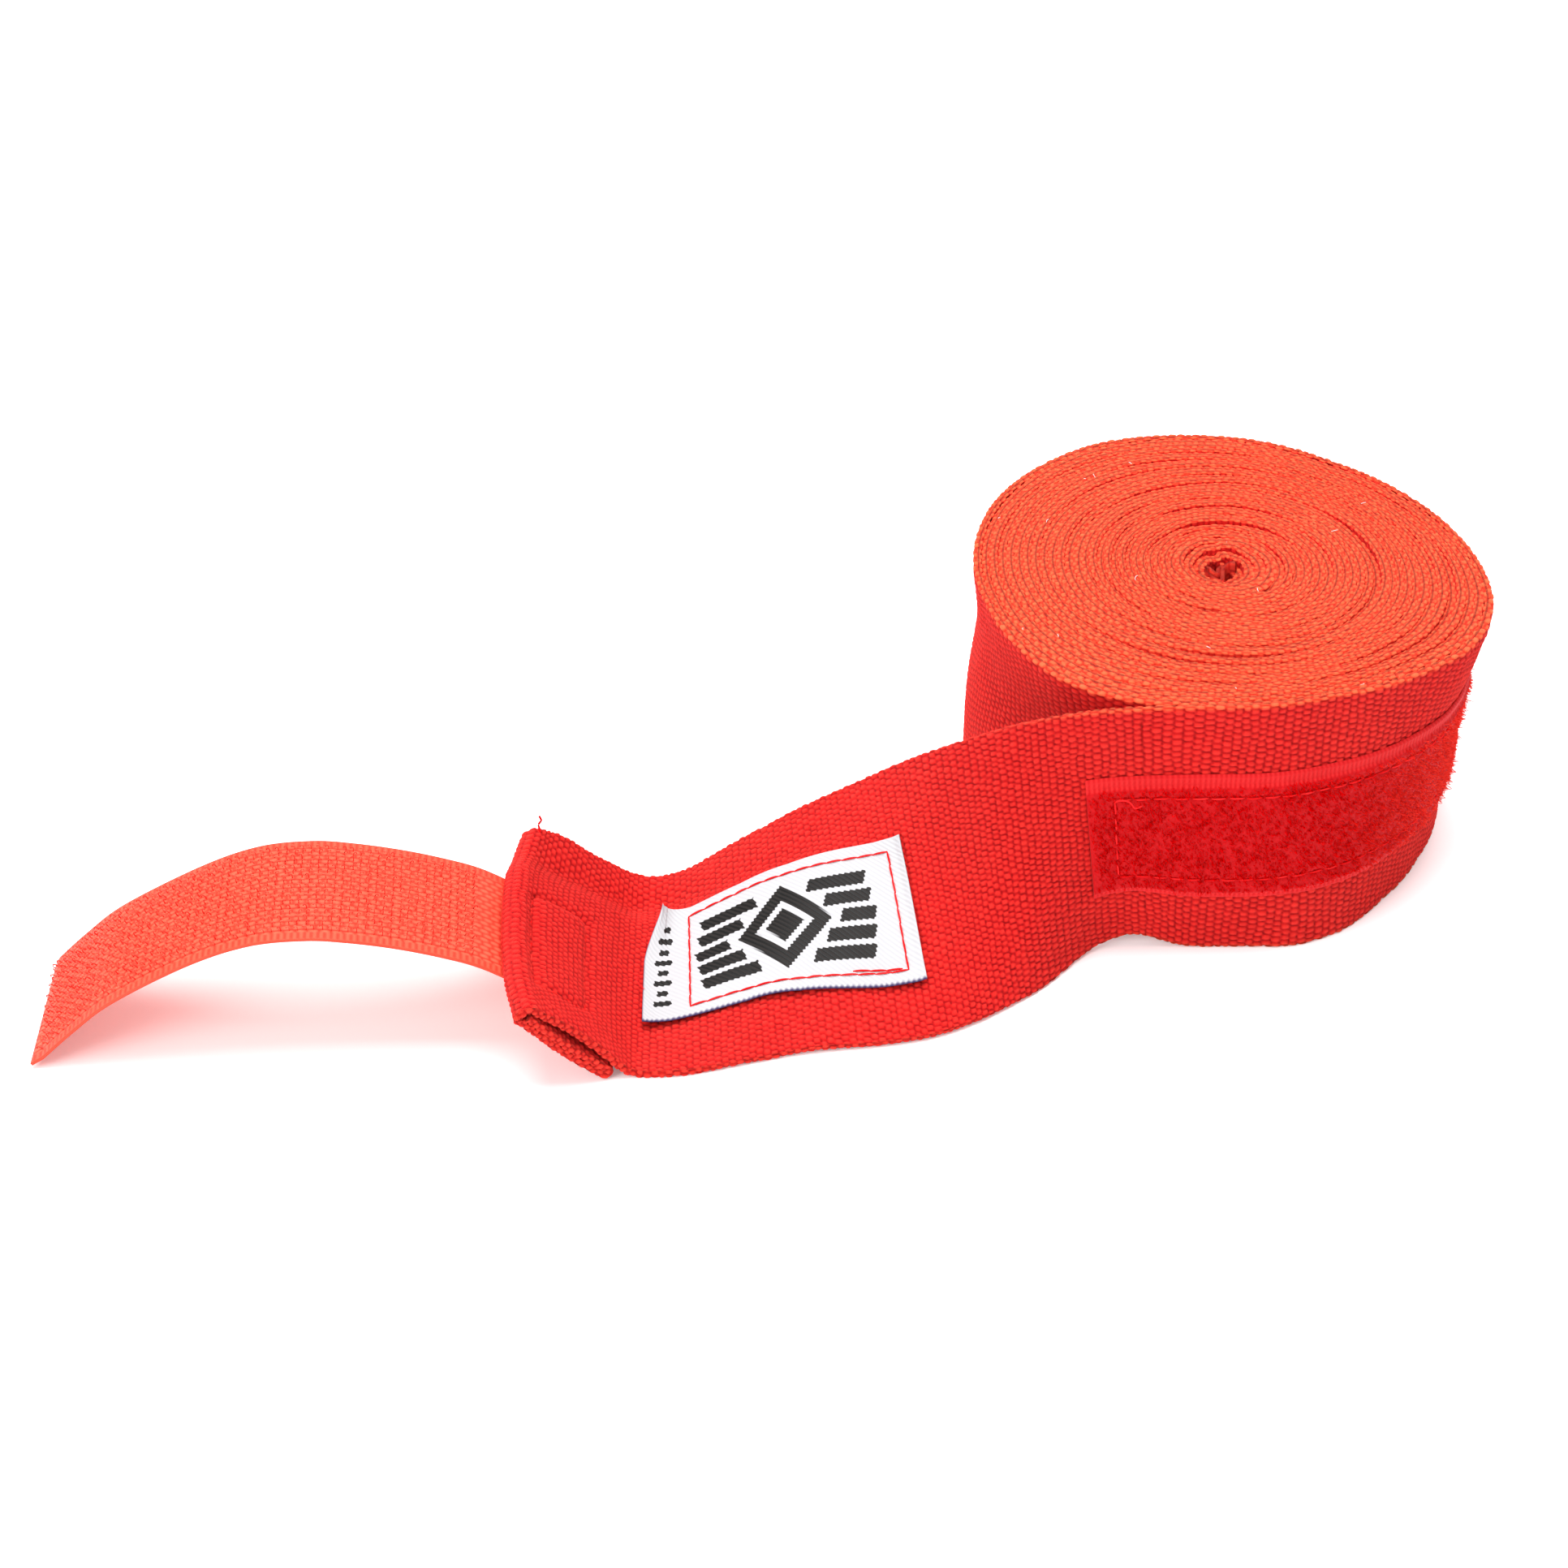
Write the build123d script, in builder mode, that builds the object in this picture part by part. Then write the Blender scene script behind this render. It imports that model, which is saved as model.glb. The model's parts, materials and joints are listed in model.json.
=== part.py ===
"""Hand wrap: a 180 inch cotton band, 2 inches wide, rolled up with its closure end lying open.

Frame: the origin is on the table at the axis of the roll, +Z is up, and the free end runs to -X.
Seen from above the band winds clockwise on its way out and leaves the roll at its front, heading -X.
"""

import os
from math import cos, degrees, pi, radians, sin

from build123d import *

os.makedirs("parts", exist_ok=True)

# ---- driving dimensions, millimetres and degrees ----
BAND_WIDTH = 50.0
CLOTH = 1.15  # thickness of the cloth
PITCH = 1.30  # from one turn of the roll to the next
ROLL_RADIUS = 43.0
OUTER_HALF_TURNS = 25
INNER_HALF_TURNS = 34
GROOVE = 0.35  # clearance round the inner turns, which slide along the axis

TAPE_WIDTH = 25.4  # hook tape and loop tape
LOOP_TAPE = 2.0  # woven back and pile together
LOOP_LENGTH = 125.0
LOOP_LOW_EDGE = 11.2  # height of its lower edge over the table
LOOP_START = 1.7  # its end stands this far from the peel line
HOOK_TAPE = 1.5  # woven back and hooks together
HOOK_ROOT = 16.0  # length sewn under the hem
HOOK_YAW = 3.7
HOOK_Y = -56.7  # middle of the hook tape where it leaves the hem
# The arch of its free length: distance out from the fold line, and height.
ARCH_SHOULDER = (14.4, 21.7)
ARCH_TOP = (29.0, 23.3)
ARCH_FAR_SIDE = (60.9, 11.9)
ARCH_TIP = (74.4, 0.62)

PEEL_X = -24.8  # the upright line along which the free end peels off the roll
PEEL_GAP = 0.5
FOLD_X = -100.3  # the line along which the hem folds up
FOLD_GAP = 0.9
HOOK_GAP = 0.7
HEM_SLOPE = 43.0
HEM_LENGTH = 26.5
HEM_Y = -50.75  # middle of the hem
HEM_TURN = 1.375  # radius of the fold at the end of the hem, middle of the cloth
RAW_EDGE_TURN = 0.65  # radius of the second fold, which hides the raw edge
TURNED_EDGE = 4.45  # centre of the second fold: its outside just clears the table

LABEL = 0.4
LABEL_STAND_OFF = 0.3
LABEL_WIDTH = 27.0
LABEL_SHIFT = 0.5  # off the middle of the band
THUMB_LOOP_LENGTH = 6.2
THUMB_LOOP_DEPTH = 3.2
THUMB_TAPE = 0.8
THUMB_LOOP_LOW, THUMB_LOOP_HIGH = 24.0, 46.0
THUMB_LOOP_TURN = 25.0  # how it lies in the hole, seen from above
TACK_ROWS = 6

THREAD = 0.35
STITCH = 2.2
STITCH_PITCH = 3.0
SEAM_INSET = 4.2  # from the loop tape's edges to its box seam
# The label's seam is a rectangle; towards the fold the label's end is left free beyond it.
SEAM_START, SEAM_STOP, SEAM_SIDE = 0.07, 0.80, 0.10  # shares of the label's length and width
LABEL_STITCHES = {"along": 16, "across": 9}
HEM_SEAM = (8.2, 22.2)  # places of the hem's two cross seams, up the slope
TOUCH = 0.02  # what is sewn on stands off by this much

LINE_RADIUS = ROLL_RADIUS - CLOTH / 2  # middle of the outermost turn


def half_turn(k, shrink):
    """Centre, middle radius and start angle of half turn k, counted from the outside in."""
    right = k % 2 == 0
    centre = (0, 0) if right else (0, PITCH / 2)
    return centre, LINE_RADIUS - shrink - k * PITCH / 2, -90 if right else 90


def spiral(first, count, shrink=0.0, skip=0.0):
    """Draw both sides and the inner end of a run of half turns; return its two outer corners."""
    outer_end, inner_end = [], []
    for side in (CLOTH / 2, -CLOTH / 2):
        for k in range(first, first + count):
            centre, radius, start = half_turn(k, shrink)
            late = skip if k == first else 0.0
            arc = CenterArc(centre, radius + side, start + late, 180 - late)
            if k == first:
                outer_end.append(arc @ 0)
        inner_end.append(arc @ 1)
    Line(*inner_end)
    return outer_end


# ---- the roll, outside the groove, with the straight stretch that leaves it ----
with BuildPart() as outer_turns:
    with BuildSketch():
        with BuildLine():
            outside, inside = spiral(0, OUTER_HALF_TURNS)
            straight_end = PEEL_X + PEEL_GAP
            Polyline(outside, (straight_end, outside.Y), (straight_end, inside.Y), inside)
        make_face()
    extrude(amount=BAND_WIDTH)
outer_turns.part.label = "outer_turns"
export_step(outer_turns.part, "parts/outer_turns.step")

# ---- the roll, inside the groove ----
with BuildPart() as inner_turns:
    with BuildSketch():
        with BuildLine():
            Line(*spiral(OUTER_HALF_TURNS, INNER_HALF_TURNS, GROOVE - (PITCH - CLOTH), skip=4))
        make_face()
    extrude(amount=BAND_WIDTH)
inner_turns.part.label = "inner_turns"
export_step(inner_turns.part, "parts/inner_turns.step")

# ---- thumb loop, folded flat in the hole of the roll, and the tack that closes it ----
loop_across = Vector(1, 0, 0).rotate(Axis.Z, THUMB_LOOP_TURN)
loop_plane = Plane(origin=(-0.2, 0.2, THUMB_LOOP_LOW), x_dir=loop_across)
with BuildPart() as thumb_loop:
    with BuildSketch(loop_plane):
        SlotOverall(THUMB_LOOP_LENGTH, THUMB_LOOP_DEPTH)
        offset(amount=-THUMB_TAPE, mode=Mode.SUBTRACT)
    extrude(amount=THUMB_LOOP_HIGH - THUMB_LOOP_LOW)
thumb_loop.part.label = "thumb_loop"
export_step(thumb_loop.part, "parts/thumb_loop.step")

tack_place = THUMB_LOOP_DEPTH / 2 + TOUCH + THREAD / 2
with BuildPart() as thumb_loop_stitching:
    for row in range(TACK_ROWS):
        with Locations(loop_plane * Pos(0, tack_place, (row + 1) * STITCH_PITCH)):
            Box(STITCH, THREAD, THREAD)
thumb_loop_stitching.part.label = "thumb_loop_stitching"
export_step(thumb_loop_stitching.part, "parts/thumb_loop_stitching.step")


# ---- loop tape on the outside of the roll ----
def on_roll(along, height, stand_off):
    """Plane on the outside of the roll, Z out and X along the band, by distance from the peel line."""
    radius = ROLL_RADIUS + stand_off
    past = along + PEEL_X
    if past < 0:
        return Plane(origin=(past, -radius, height), x_dir=(1, 0, 0), z_dir=(0, -1, 0))
    turn = -90 + degrees(past / ROLL_RADIUS)
    out = Vector(1, 0, 0).rotate(Axis.Z, turn)
    place = out * radius + Vector(0, 0, height)
    return Plane(origin=place, x_dir=Vector(0, 0, 1).cross(out), z_dir=out)


loop_radius = ROLL_RADIUS + TOUCH + LOOP_TAPE / 2
loop_sweep = degrees((LOOP_LENGTH + LOOP_START + PEEL_X) / loop_radius)
with BuildPart() as loop_strip:
    with BuildSketch(Plane.XY.offset(LOOP_LOW_EDGE)):
        with BuildLine() as loop_path:
            Line((PEEL_X + LOOP_START, -loop_radius), (0, -loop_radius))
            CenterArc((0, 0), loop_radius, -90, loop_sweep)
        trace(line_width=LOOP_TAPE)
    extrude(amount=TAPE_WIDTH)
loop_strip.part.label = "loop_strip"
export_step(loop_strip.part, "parts/loop_strip.step")

seam_ends = (LOOP_START + SEAM_INSET, LOOP_START + LOOP_LENGTH - SEAM_INSET)
seam_heights = (LOOP_LOW_EDGE + SEAM_INSET, LOOP_LOW_EDGE + TAPE_WIDTH - SEAM_INSET)
seam_stand_off = LOOP_TAPE + 2 * TOUCH + THREAD / 2
with BuildPart() as loop_strip_stitching:
    for height in seam_heights:
        count = int((seam_ends[1] - seam_ends[0]) / STITCH_PITCH)
        for i in range(count):
            with Locations(on_roll(seam_ends[0] + (i + 0.5) * STITCH_PITCH, height, seam_stand_off)):
                Box(STITCH, THREAD, THREAD)
    for along in seam_ends:
        count = int((seam_heights[1] - seam_heights[0]) / STITCH_PITCH)
        for i in range(count):
            with Locations(on_roll(along, seam_heights[0] + (i + 0.5) * STITCH_PITCH, seam_stand_off)):
                Box(THREAD, STITCH, THREAD)
loop_strip_stitching.part.label = "loop_strip_stitching"
export_step(loop_strip_stitching.part, "parts/loop_strip_stitching.step")

# ---- free end: upright at the roll, turning over until it lies on the table ----
# Lower edge and upper edge at each place along it; the lower edge stays on the table.
STRAP_EDGES = [
    ((PEEL_X - PEEL_GAP, -LINE_RADIUS, 0), (PEEL_X - PEEL_GAP, -LINE_RADIUS, 50)),
    ((-33.3, -55.8, 0), (-38.5, -36.0, 41.0)),
    ((-49.6, -66.7, 0), (-56.2, -22.6, 22.6)),
    ((-72.0, -71.0, 0), (-75.3, -22.5, 11.8)),
    ((-89.9, -74.7, 0), (-91.0, -24.9, 3.8)),
    ((-96.5, -75.6, 0), (-96.9, -25.6, 1.6)),
    ((FOLD_X + FOLD_GAP, -75.7, 0), (FOLD_X + FOLD_GAP, -25.8, 0.5)),
]
LABEL_SECTIONS = slice(2, 6)


def strap_sections():
    """A plane across the band at each place: X towards the upper edge, Y through it to its inside."""
    lows = [Vector(low) for low, high in STRAP_EDGES]
    highs = [Vector(high) for low, high in STRAP_EDGES]
    middles = [(low + high) / 2 for low, high in zip(lows, highs)]
    planes = []
    for i, middle in enumerate(middles):
        across = (highs[i] - lows[i]).normalized()
        ahead = middles[min(i + 1, len(middles) - 1)] - middles[max(i - 1, 0)]
        if i in (0, len(middles) - 1):
            ahead = Vector(-1, 0, 0)
        ahead = (ahead - across * ahead.dot(across)).normalized()
        lift = abs(ahead.cross(across).Z) * CLOTH / 2
        planes.append(Plane(origin=middle + Vector(0, 0, lift), x_dir=across, z_dir=ahead))
    return planes


sections = strap_sections()
with BuildPart() as strap_tail:
    for plane, (low, high) in zip(sections, STRAP_EDGES):
        with BuildSketch(plane):
            Rectangle((Vector(high) - Vector(low)).length, CLOTH)
    loft()
strap_tail.part.label = "strap_tail"
export_step(strap_tail.part, "parts/strap_tail.step")

# ---- label on the outside of the free end ----
label_height = -(CLOTH / 2 + LABEL_STAND_OFF + LABEL / 2)
with BuildPart() as label:
    for plane in sections[LABEL_SECTIONS]:
        with BuildSketch(plane):
            with Locations((LABEL_SHIFT, label_height)):
                Rectangle(LABEL_WIDTH, LABEL)
    loft()
label.part.label = "label"
export_step(label.part, "parts/label.step")

# The seam lies on the label's outer face.
label_face = label.faces().sort_by(SortBy.AREA)[-2:].sort_by(Axis.Z)[-1]


def label_seam(start, stop, count):
    """Planes on the label, Z out and X along the seam, between two places given as shares."""
    planes = []
    for i in range(count):
        share = (i + 0.5) / count
        place = [a + (b - a) * share for a, b in zip(start, stop)]
        point = label_face.position_at(*place)
        ahead = label_face.position_at(*[p + (b - a) * 0.01 for p, a, b in zip(place, start, stop)])
        out = label_face.normal_at(point)
        stand_off = out * (TOUCH + THREAD / 2)
        planes.append(Plane(origin=point + stand_off, x_dir=(ahead - point).normalized(), z_dir=out))
    return planes


near, far = (SEAM_SIDE, 1 - SEAM_SIDE)
with BuildPart() as label_stitching:
    for side in (near, far):
        for plane in label_seam((side, SEAM_START), (side, SEAM_STOP), LABEL_STITCHES["along"]):
            with Locations(plane):
                Box(STITCH * 0.7, THREAD, THREAD)
    for end in (SEAM_START, SEAM_STOP):
        for plane in label_seam((near, end), (far, end), LABEL_STITCHES["across"]):
            with Locations(plane):
                Box(STITCH * 0.7, THREAD, THREAD)
label_stitching.part.label = "label_stitching"
export_step(label_stitching.part, "parts/label_stitching.step")

# ---- hem: the band's end turned under twice, so three plies lie one over another ----
# Its plane is upright: X up the slope from the fold line, Y out of its upper side.
slope = radians(HEM_SLOPE)
hem_plane = Plane(origin=(FOLD_X, HEM_Y, CLOTH / 2), x_dir=(-cos(slope), 0, sin(slope)), z_dir=(0, 1, 0))
fold_start = HEM_LENGTH - HEM_TURN - CLOTH / 2
under_ply = -2 * HEM_TURN
inner_ply = under_ply + 2 * RAW_EDGE_TURN
raw_edge = fold_start - 0.6

with BuildPart() as hem_top:
    with BuildSketch(hem_plane):
        with BuildLine():
            Line((FOLD_GAP, 0), (fold_start, 0))
            CenterArc((fold_start, -HEM_TURN), HEM_TURN, 90, -180)
        trace(line_width=CLOTH)
    extrude(amount=BAND_WIDTH / 2, both=True)
hem_top.part.label = "hem_top"
export_step(hem_top.part, "parts/hem_top.step")

with BuildPart() as hem_turned_edge:
    with BuildSketch(hem_plane):
        with BuildLine():
            Line((fold_start, under_ply), (TURNED_EDGE, under_ply))
            CenterArc((TURNED_EDGE, under_ply + RAW_EDGE_TURN), RAW_EDGE_TURN, -90, -180)
            Line((TURNED_EDGE, inner_ply), (raw_edge, inner_ply))
        trace(line_width=CLOTH)
    extrude(amount=BAND_WIDTH / 2, both=True)
hem_turned_edge.part.label = "hem_turned_edge"
export_step(hem_turned_edge.part, "parts/hem_turned_edge.step")

# ---- hook tape: its root is sewn under the hem, the rest arches down to the table ----
hook_line = (HEM_LENGTH + HOOK_GAP + 0.1, under_ply - CLOTH / 2 - TOUCH - HOOK_TAPE / 2)
root_end = hook_line[0] - HOOK_GAP
with BuildPart() as hook_strip_root:
    with BuildSketch(hem_plane.offset(HOOK_Y - HEM_Y)):
        with Locations((root_end - HOOK_ROOT / 2, hook_line[1])):
            Rectangle(HOOK_ROOT, HOOK_TAPE)
    extrude(amount=TAPE_WIDTH / 2, both=True)
hook_strip_root.part.label = "hook_strip_root"
export_step(hook_strip_root.part, "parts/hook_strip_root.step")

hinge = hem_plane.from_local_coords(hook_line)
yaw = radians(HOOK_YAW)
hook_plane = Plane(
    origin=(hinge.X, HOOK_Y, 0), x_dir=(-cos(yaw), -sin(yaw), 0), z_dir=(-sin(yaw), cos(yaw), 0)
)
with BuildPart() as hook_strip:
    with BuildSketch(hook_plane):
        with BuildLine():
            rise = ThreePointArc((HOOK_GAP, hinge.Z + 0.35), ARCH_SHOULDER, ARCH_TOP)
            fall = TangentArc(ARCH_TOP, ARCH_FAR_SIDE, tangent=rise % 1)
            Line(ARCH_FAR_SIDE, ARCH_TIP)
        trace(line_width=HOOK_TAPE)
    extrude(amount=TAPE_WIDTH / 2, both=True)
hook_strip.part.label = "hook_strip"
export_step(hook_strip.part, "parts/hook_strip.step")

# ---- seam of the hem: a box through every ply and the hook tape's root, sewn from above ----
hem_seam_half = TAPE_WIDTH / 2 - 1.6
hem_seam_side = HOOK_Y - HEM_Y
with BuildPart() as hem_stitching:
    seam_face = Plane(
        origin=hem_plane.from_local_coords((0, CLOTH / 2 + TOUCH + THREAD / 2)),
        x_dir=hem_plane.x_dir,
        z_dir=hem_plane.y_dir,
    )
    across = int(2 * hem_seam_half / STITCH_PITCH)
    along = int((HEM_SEAM[1] - HEM_SEAM[0]) / STITCH_PITCH)
    middle = sum(HEM_SEAM) / 2
    for place in HEM_SEAM:
        for i in range(across):
            step = (i - (across - 1) / 2) * STITCH_PITCH
            with Locations(seam_face * Pos(place, -hem_seam_side - step, 0)):
                Box(THREAD, STITCH, THREAD)
    for side in (-hem_seam_half, hem_seam_half):
        for i in range(along):
            step = (i - (along - 1) / 2) * STITCH_PITCH
            with Locations(seam_face * Pos(middle + step, -hem_seam_side - side, 0)):
                Box(STITCH, THREAD, THREAD)
hem_stitching.part.label = "hem_stitching"
export_step(hem_stitching.part, "parts/hem_stitching.step")

rolled = sum(pi * half_turn(k, 0)[1] for k in range(OUTER_HALF_TURNS + INNER_HALF_TURNS))
free = sections[0].origin.X - sections[-1].origin.X
hem = 2 * HEM_LENGTH + fold_start - TURNED_EDGE
print(f"band: {rolled - PEEL_X + free + hem:.0f} mm in all, {rolled:.0f} mm of it in the roll")
print(f"hook fold line through {hinge.X:.2f}, {hinge.Y:.2f}, {hinge.Z:.2f}")
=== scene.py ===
"""Looks of the hand wrap: woven band, roll, hem, tapes, label and seams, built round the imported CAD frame.

Shapes are worked out in millimetres in the row frame and turned into metres when a mesh is made.
Along the band, s grows from the roll to the free end, with 0 where the band leaves the roll;
across it, w runs from the lower edge to the upper one.
"""

import json
import math

import bpy
import numpy as np
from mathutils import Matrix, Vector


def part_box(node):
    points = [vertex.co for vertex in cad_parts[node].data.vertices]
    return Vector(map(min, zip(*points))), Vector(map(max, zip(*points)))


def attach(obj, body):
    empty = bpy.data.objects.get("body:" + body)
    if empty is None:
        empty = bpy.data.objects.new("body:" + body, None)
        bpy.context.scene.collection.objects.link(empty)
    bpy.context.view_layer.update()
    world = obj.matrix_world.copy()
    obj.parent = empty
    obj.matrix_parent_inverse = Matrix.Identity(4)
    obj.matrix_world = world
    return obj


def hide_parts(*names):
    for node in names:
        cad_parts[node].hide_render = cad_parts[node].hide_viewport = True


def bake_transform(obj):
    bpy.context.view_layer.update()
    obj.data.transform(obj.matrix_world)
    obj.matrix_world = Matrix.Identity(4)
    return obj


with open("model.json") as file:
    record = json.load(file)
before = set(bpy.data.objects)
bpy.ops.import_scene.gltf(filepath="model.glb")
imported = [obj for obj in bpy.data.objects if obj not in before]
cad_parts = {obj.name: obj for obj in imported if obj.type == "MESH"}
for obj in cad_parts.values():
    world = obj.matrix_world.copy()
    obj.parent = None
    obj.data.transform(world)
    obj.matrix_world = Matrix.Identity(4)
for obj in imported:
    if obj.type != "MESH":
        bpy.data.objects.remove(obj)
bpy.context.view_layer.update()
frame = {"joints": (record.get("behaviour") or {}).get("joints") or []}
JOINTS = {j["name"]: j for j in frame["joints"]}
MM = 0.001
rng = np.random.default_rng(11)


def box_mm(node):
    low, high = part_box(node)
    return np.array(low) / MM, np.array(high) / MM


# ======================= sizes =======================
ROLL_LOW, ROLL_HIGH = box_mm("outer_turns")
WIDTH = ROLL_HIGH[2]
RADIUS = -ROLL_LOW[1]
PITCH = 1.30
CLOTH = 1.15
LINE_RADIUS = RADIUS - CLOTH / 2
GROOVE_TURN = 25  # half turns outside the sliding core
HALF_TURNS = 59
CORE_SHRINK = 0.2
CORE_RADIUS = LINE_RADIUS - GROOVE_TURN * PITCH / 2

PEEL_X, PEEL_Y = (v / MM for v in JOINTS["tail_peel"]["pos_m"][:2])
FOLD_X = JOINTS["hem_fold"]["pos_m"][0] / MM
HINGE = np.array(JOINTS["hook_fold"]["pos_m"]) / MM
LOOP_LOW, LOOP_HIGH = box_mm("loop_strip")
TAPE_WIDTH = LOOP_HIGH[2] - LOOP_LOW[2]
HOOK_YAW = math.asin(-JOINTS["hook_fold"]["axis"][0])

# The weave: staggered columns of rounded cells.
CELL_LENGTH = 1.43
CELL_WIDTH = 1.17
RELIEF = 0.38
SHORTER, SHORTER_FROM, SHORTER_OVER = 0.25, 20, 6  # cells on the free end: share, from which s, and how gently
STEP_S = CELL_LENGTH / 4.6
STEP_W = CELL_WIDTH / 4.3

# Outline of the outermost turn: direction in degrees and radius, at the top and at the bottom.
TOP_OUTLINE = [
    (-164, 42.9), (-145, 44.6), (-131, 46.2), (-121, 46.4), (-112, 45.6), (-98, 43.2), (-87, 42.7),
    (-68, 42.4), (-45, 44.8), (-34, 46.8), (-25, 47.4), (-13, 47.2), (12, 44.8), (31, 43.4),
    (54, 42.4), (76, 43.6), (96, 43.9), (115, 44.3), (136, 43.6), (160, 42.6), (178, 42.5),
]
BOTTOM_OUTLINE = [
    (-150, 42.6), (-120, 42.6), (-94, 42.8), (-85, 43.2), (-72, 44.4), (-62, 44.2), (-45, 42.2),
    (-27, 42.0), (7, 44.4), (40, 43.0), (80, 42.6), (120, 43.4), (160, 42.7), (185, 43.2),
]


# ======================= small tools =======================
def smooth(x):
    x = np.clip(x, 0, 1)
    return x * x * (3 - 2 * x)


def bell(x, width):
    return np.exp(-((x / width) ** 2))


def turn_off(a, b):
    """Difference between two directions, from -180 to 180 degrees."""
    return (np.asarray(a) - b + 180) % 360 - 180


def ripple(a, b, seed=0.0):
    """Slow, repeatable unevenness from -1 to 1 over a plane measured in cycles."""
    a, b = np.asarray(a, float), np.asarray(b, float)
    return (
        np.sin(6.28 * a + 1.7 * np.sin(5.1 * b + seed) + seed)
        + np.sin(6.28 * (0.63 * b - 0.41 * a) + 2.3 * seed)
        + np.sin(6.28 * (1.37 * a + 0.77 * b) + 4.1 * seed)
    ) / 3


def scatter(i, j):
    """A repeatable number from 0 to 1 for each pair of whole numbers."""
    x = np.sin(np.asarray(i) * 12.9898 + np.asarray(j) * 78.233) * 43758.5453
    return x - np.floor(x)


def curve(points, t):
    """Catmull-Rom curve through points, with t counted in points."""
    points = np.asarray(points, float)
    padded = np.vstack([2 * points[0] - points[1], points, 2 * points[-1] - points[-2]])
    t = np.clip(np.asarray(t, float), 0, len(points) - 1 - 1e-9)
    i = np.floor(t).astype(int)
    f = (t - i)[..., None]
    p0, p1, p2, p3 = (padded[i + k] for k in range(4))
    cubic = 3 * p1 + p3 - p0 - 3 * p2
    square = 2 * p0 - 5 * p1 + 4 * p2 - p3
    return 0.5 * (2 * p1 + (p2 - p0) * f + square * f**2 + cubic * f**3)


def unit(v):
    return v / np.maximum(np.linalg.norm(v, axis=-1, keepdims=True), 1e-12)


def stack(x, y, z):
    return np.stack(np.broadcast_arrays(x, y, z), -1).astype(float)


def surface_frame(surface, s, w, reach=0.3):
    """Place on a surface, the direction out of it, and the directions along and across it."""
    ahead = unit(surface(s + reach, w) - surface(s - reach, w))
    across = unit(surface(s, w + reach) - surface(s, w - reach))
    return surface(s, w), unit(np.cross(across, ahead)), ahead, across


def both_sides(front, back=None):
    """Values across the face of a strip, then back across its underside."""
    back = front if back is None else back
    return np.concatenate([front, back[:, ::-1]], axis=1)


def outline(table, turn):
    """Radius in a direction, from a table of directions and radii."""
    a, r = np.array(table, float).T
    return np.interp(turn_off(turn, 0), np.concatenate([a - 360, a, a + 360]), np.tile(r, 3))


def make_mesh(name, points, quads, material, around=0, **values):
    """A mesh object from points in millimetres and rows of four corners; values are kept per point.

    Where around is given, the first and last so many points close the piece off with a sharp edge."""
    mesh = bpy.data.meshes.new(name)
    points = np.asarray(points, float).reshape(-1, 3)
    quads = np.asarray(quads, np.int32).reshape(-1, 4)
    mesh.vertices.add(len(points))
    mesh.vertices.foreach_set("co", (points * MM).astype(np.float32).ravel())
    mesh.loops.add(quads.size)
    mesh.loops.foreach_set("vertex_index", quads.ravel())
    mesh.polygons.add(len(quads))
    mesh.polygons.foreach_set("loop_start", np.arange(0, quads.size, 4, dtype=np.int32))
    mesh.update(calc_edges=True)
    if around:
        ends = np.empty(2 * len(mesh.edges), np.int32)
        mesh.edges.foreach_get("vertices", ends)
        ends = ends.reshape(-1, 2)
        sharp = (ends < around).all(axis=1) | (ends >= len(points) - around).all(axis=1)
        mesh.attributes.new("sharp_edge", "BOOLEAN", "EDGE").data.foreach_set("value", sharp)
    for key, value in values.items():
        value = np.asarray(value, np.float32)
        if value.ndim > 1 and value.shape[-1] == 3:
            layer = mesh.attributes.new(key, "FLOAT_VECTOR", "POINT")
            layer.data.foreach_set("vector", value.ravel())
        else:
            layer = mesh.attributes.new(key, "FLOAT", "POINT")
            layer.data.foreach_set("value", value.ravel())
    mesh.polygons.foreach_set("use_smooth", np.ones(len(quads), bool))
    mesh.materials.append(material)
    obj = bpy.data.objects.new(name, mesh)
    bpy.context.scene.collection.objects.link(obj)
    return obj


def ring_quads(stations, around):
    """Faces of a run of stations, each a closed ring of points, with both ends closed."""
    i, j = np.meshgrid(np.arange(stations - 1), np.arange(around), indexing="ij")
    k = (j + 1) % around
    here, there = i * around, (i + 1) * around
    side = np.stack([here + j, here + k, there + k, there + j], -1)
    m = np.arange(around // 2 - 1)
    cap = np.stack([m, around - 1 - m, around - 2 - m, m + 1], -1)
    return np.vstack([side.reshape(-1, 4), cap, cap[:, ::-1] + (stations - 1) * around])


def tubes(paths, radius, sides=4):
    """Points and faces of many thin tubes, one along each row of paths (rows, points, 3)."""
    paths = np.asarray(paths, float)
    rows, count, _ = paths.shape
    ahead = unit(np.gradient(paths, axis=1))
    helper = np.where(np.abs(ahead[..., 2:3]) > 0.9, [[[1.0, 0, 0]]], [[[0, 0, 1.0]]])
    across = unit(np.cross(ahead, helper))
    other = np.cross(ahead, across)
    turn = 2 * math.pi * (np.arange(sides) + 0.5) / sides
    radius = np.broadcast_to(np.asarray(radius, float), (rows, count))[..., None, None]
    ring = across[:, :, None] * np.cos(turn)[:, None] + other[:, :, None] * np.sin(turn)[:, None]
    points = paths[:, :, None] + ring * radius
    offsets = (np.arange(rows) * count * sides)[:, None, None]
    return points.reshape(-1, 3), (ring_quads(count, sides)[None] + offsets).reshape(-1, 4)


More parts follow.
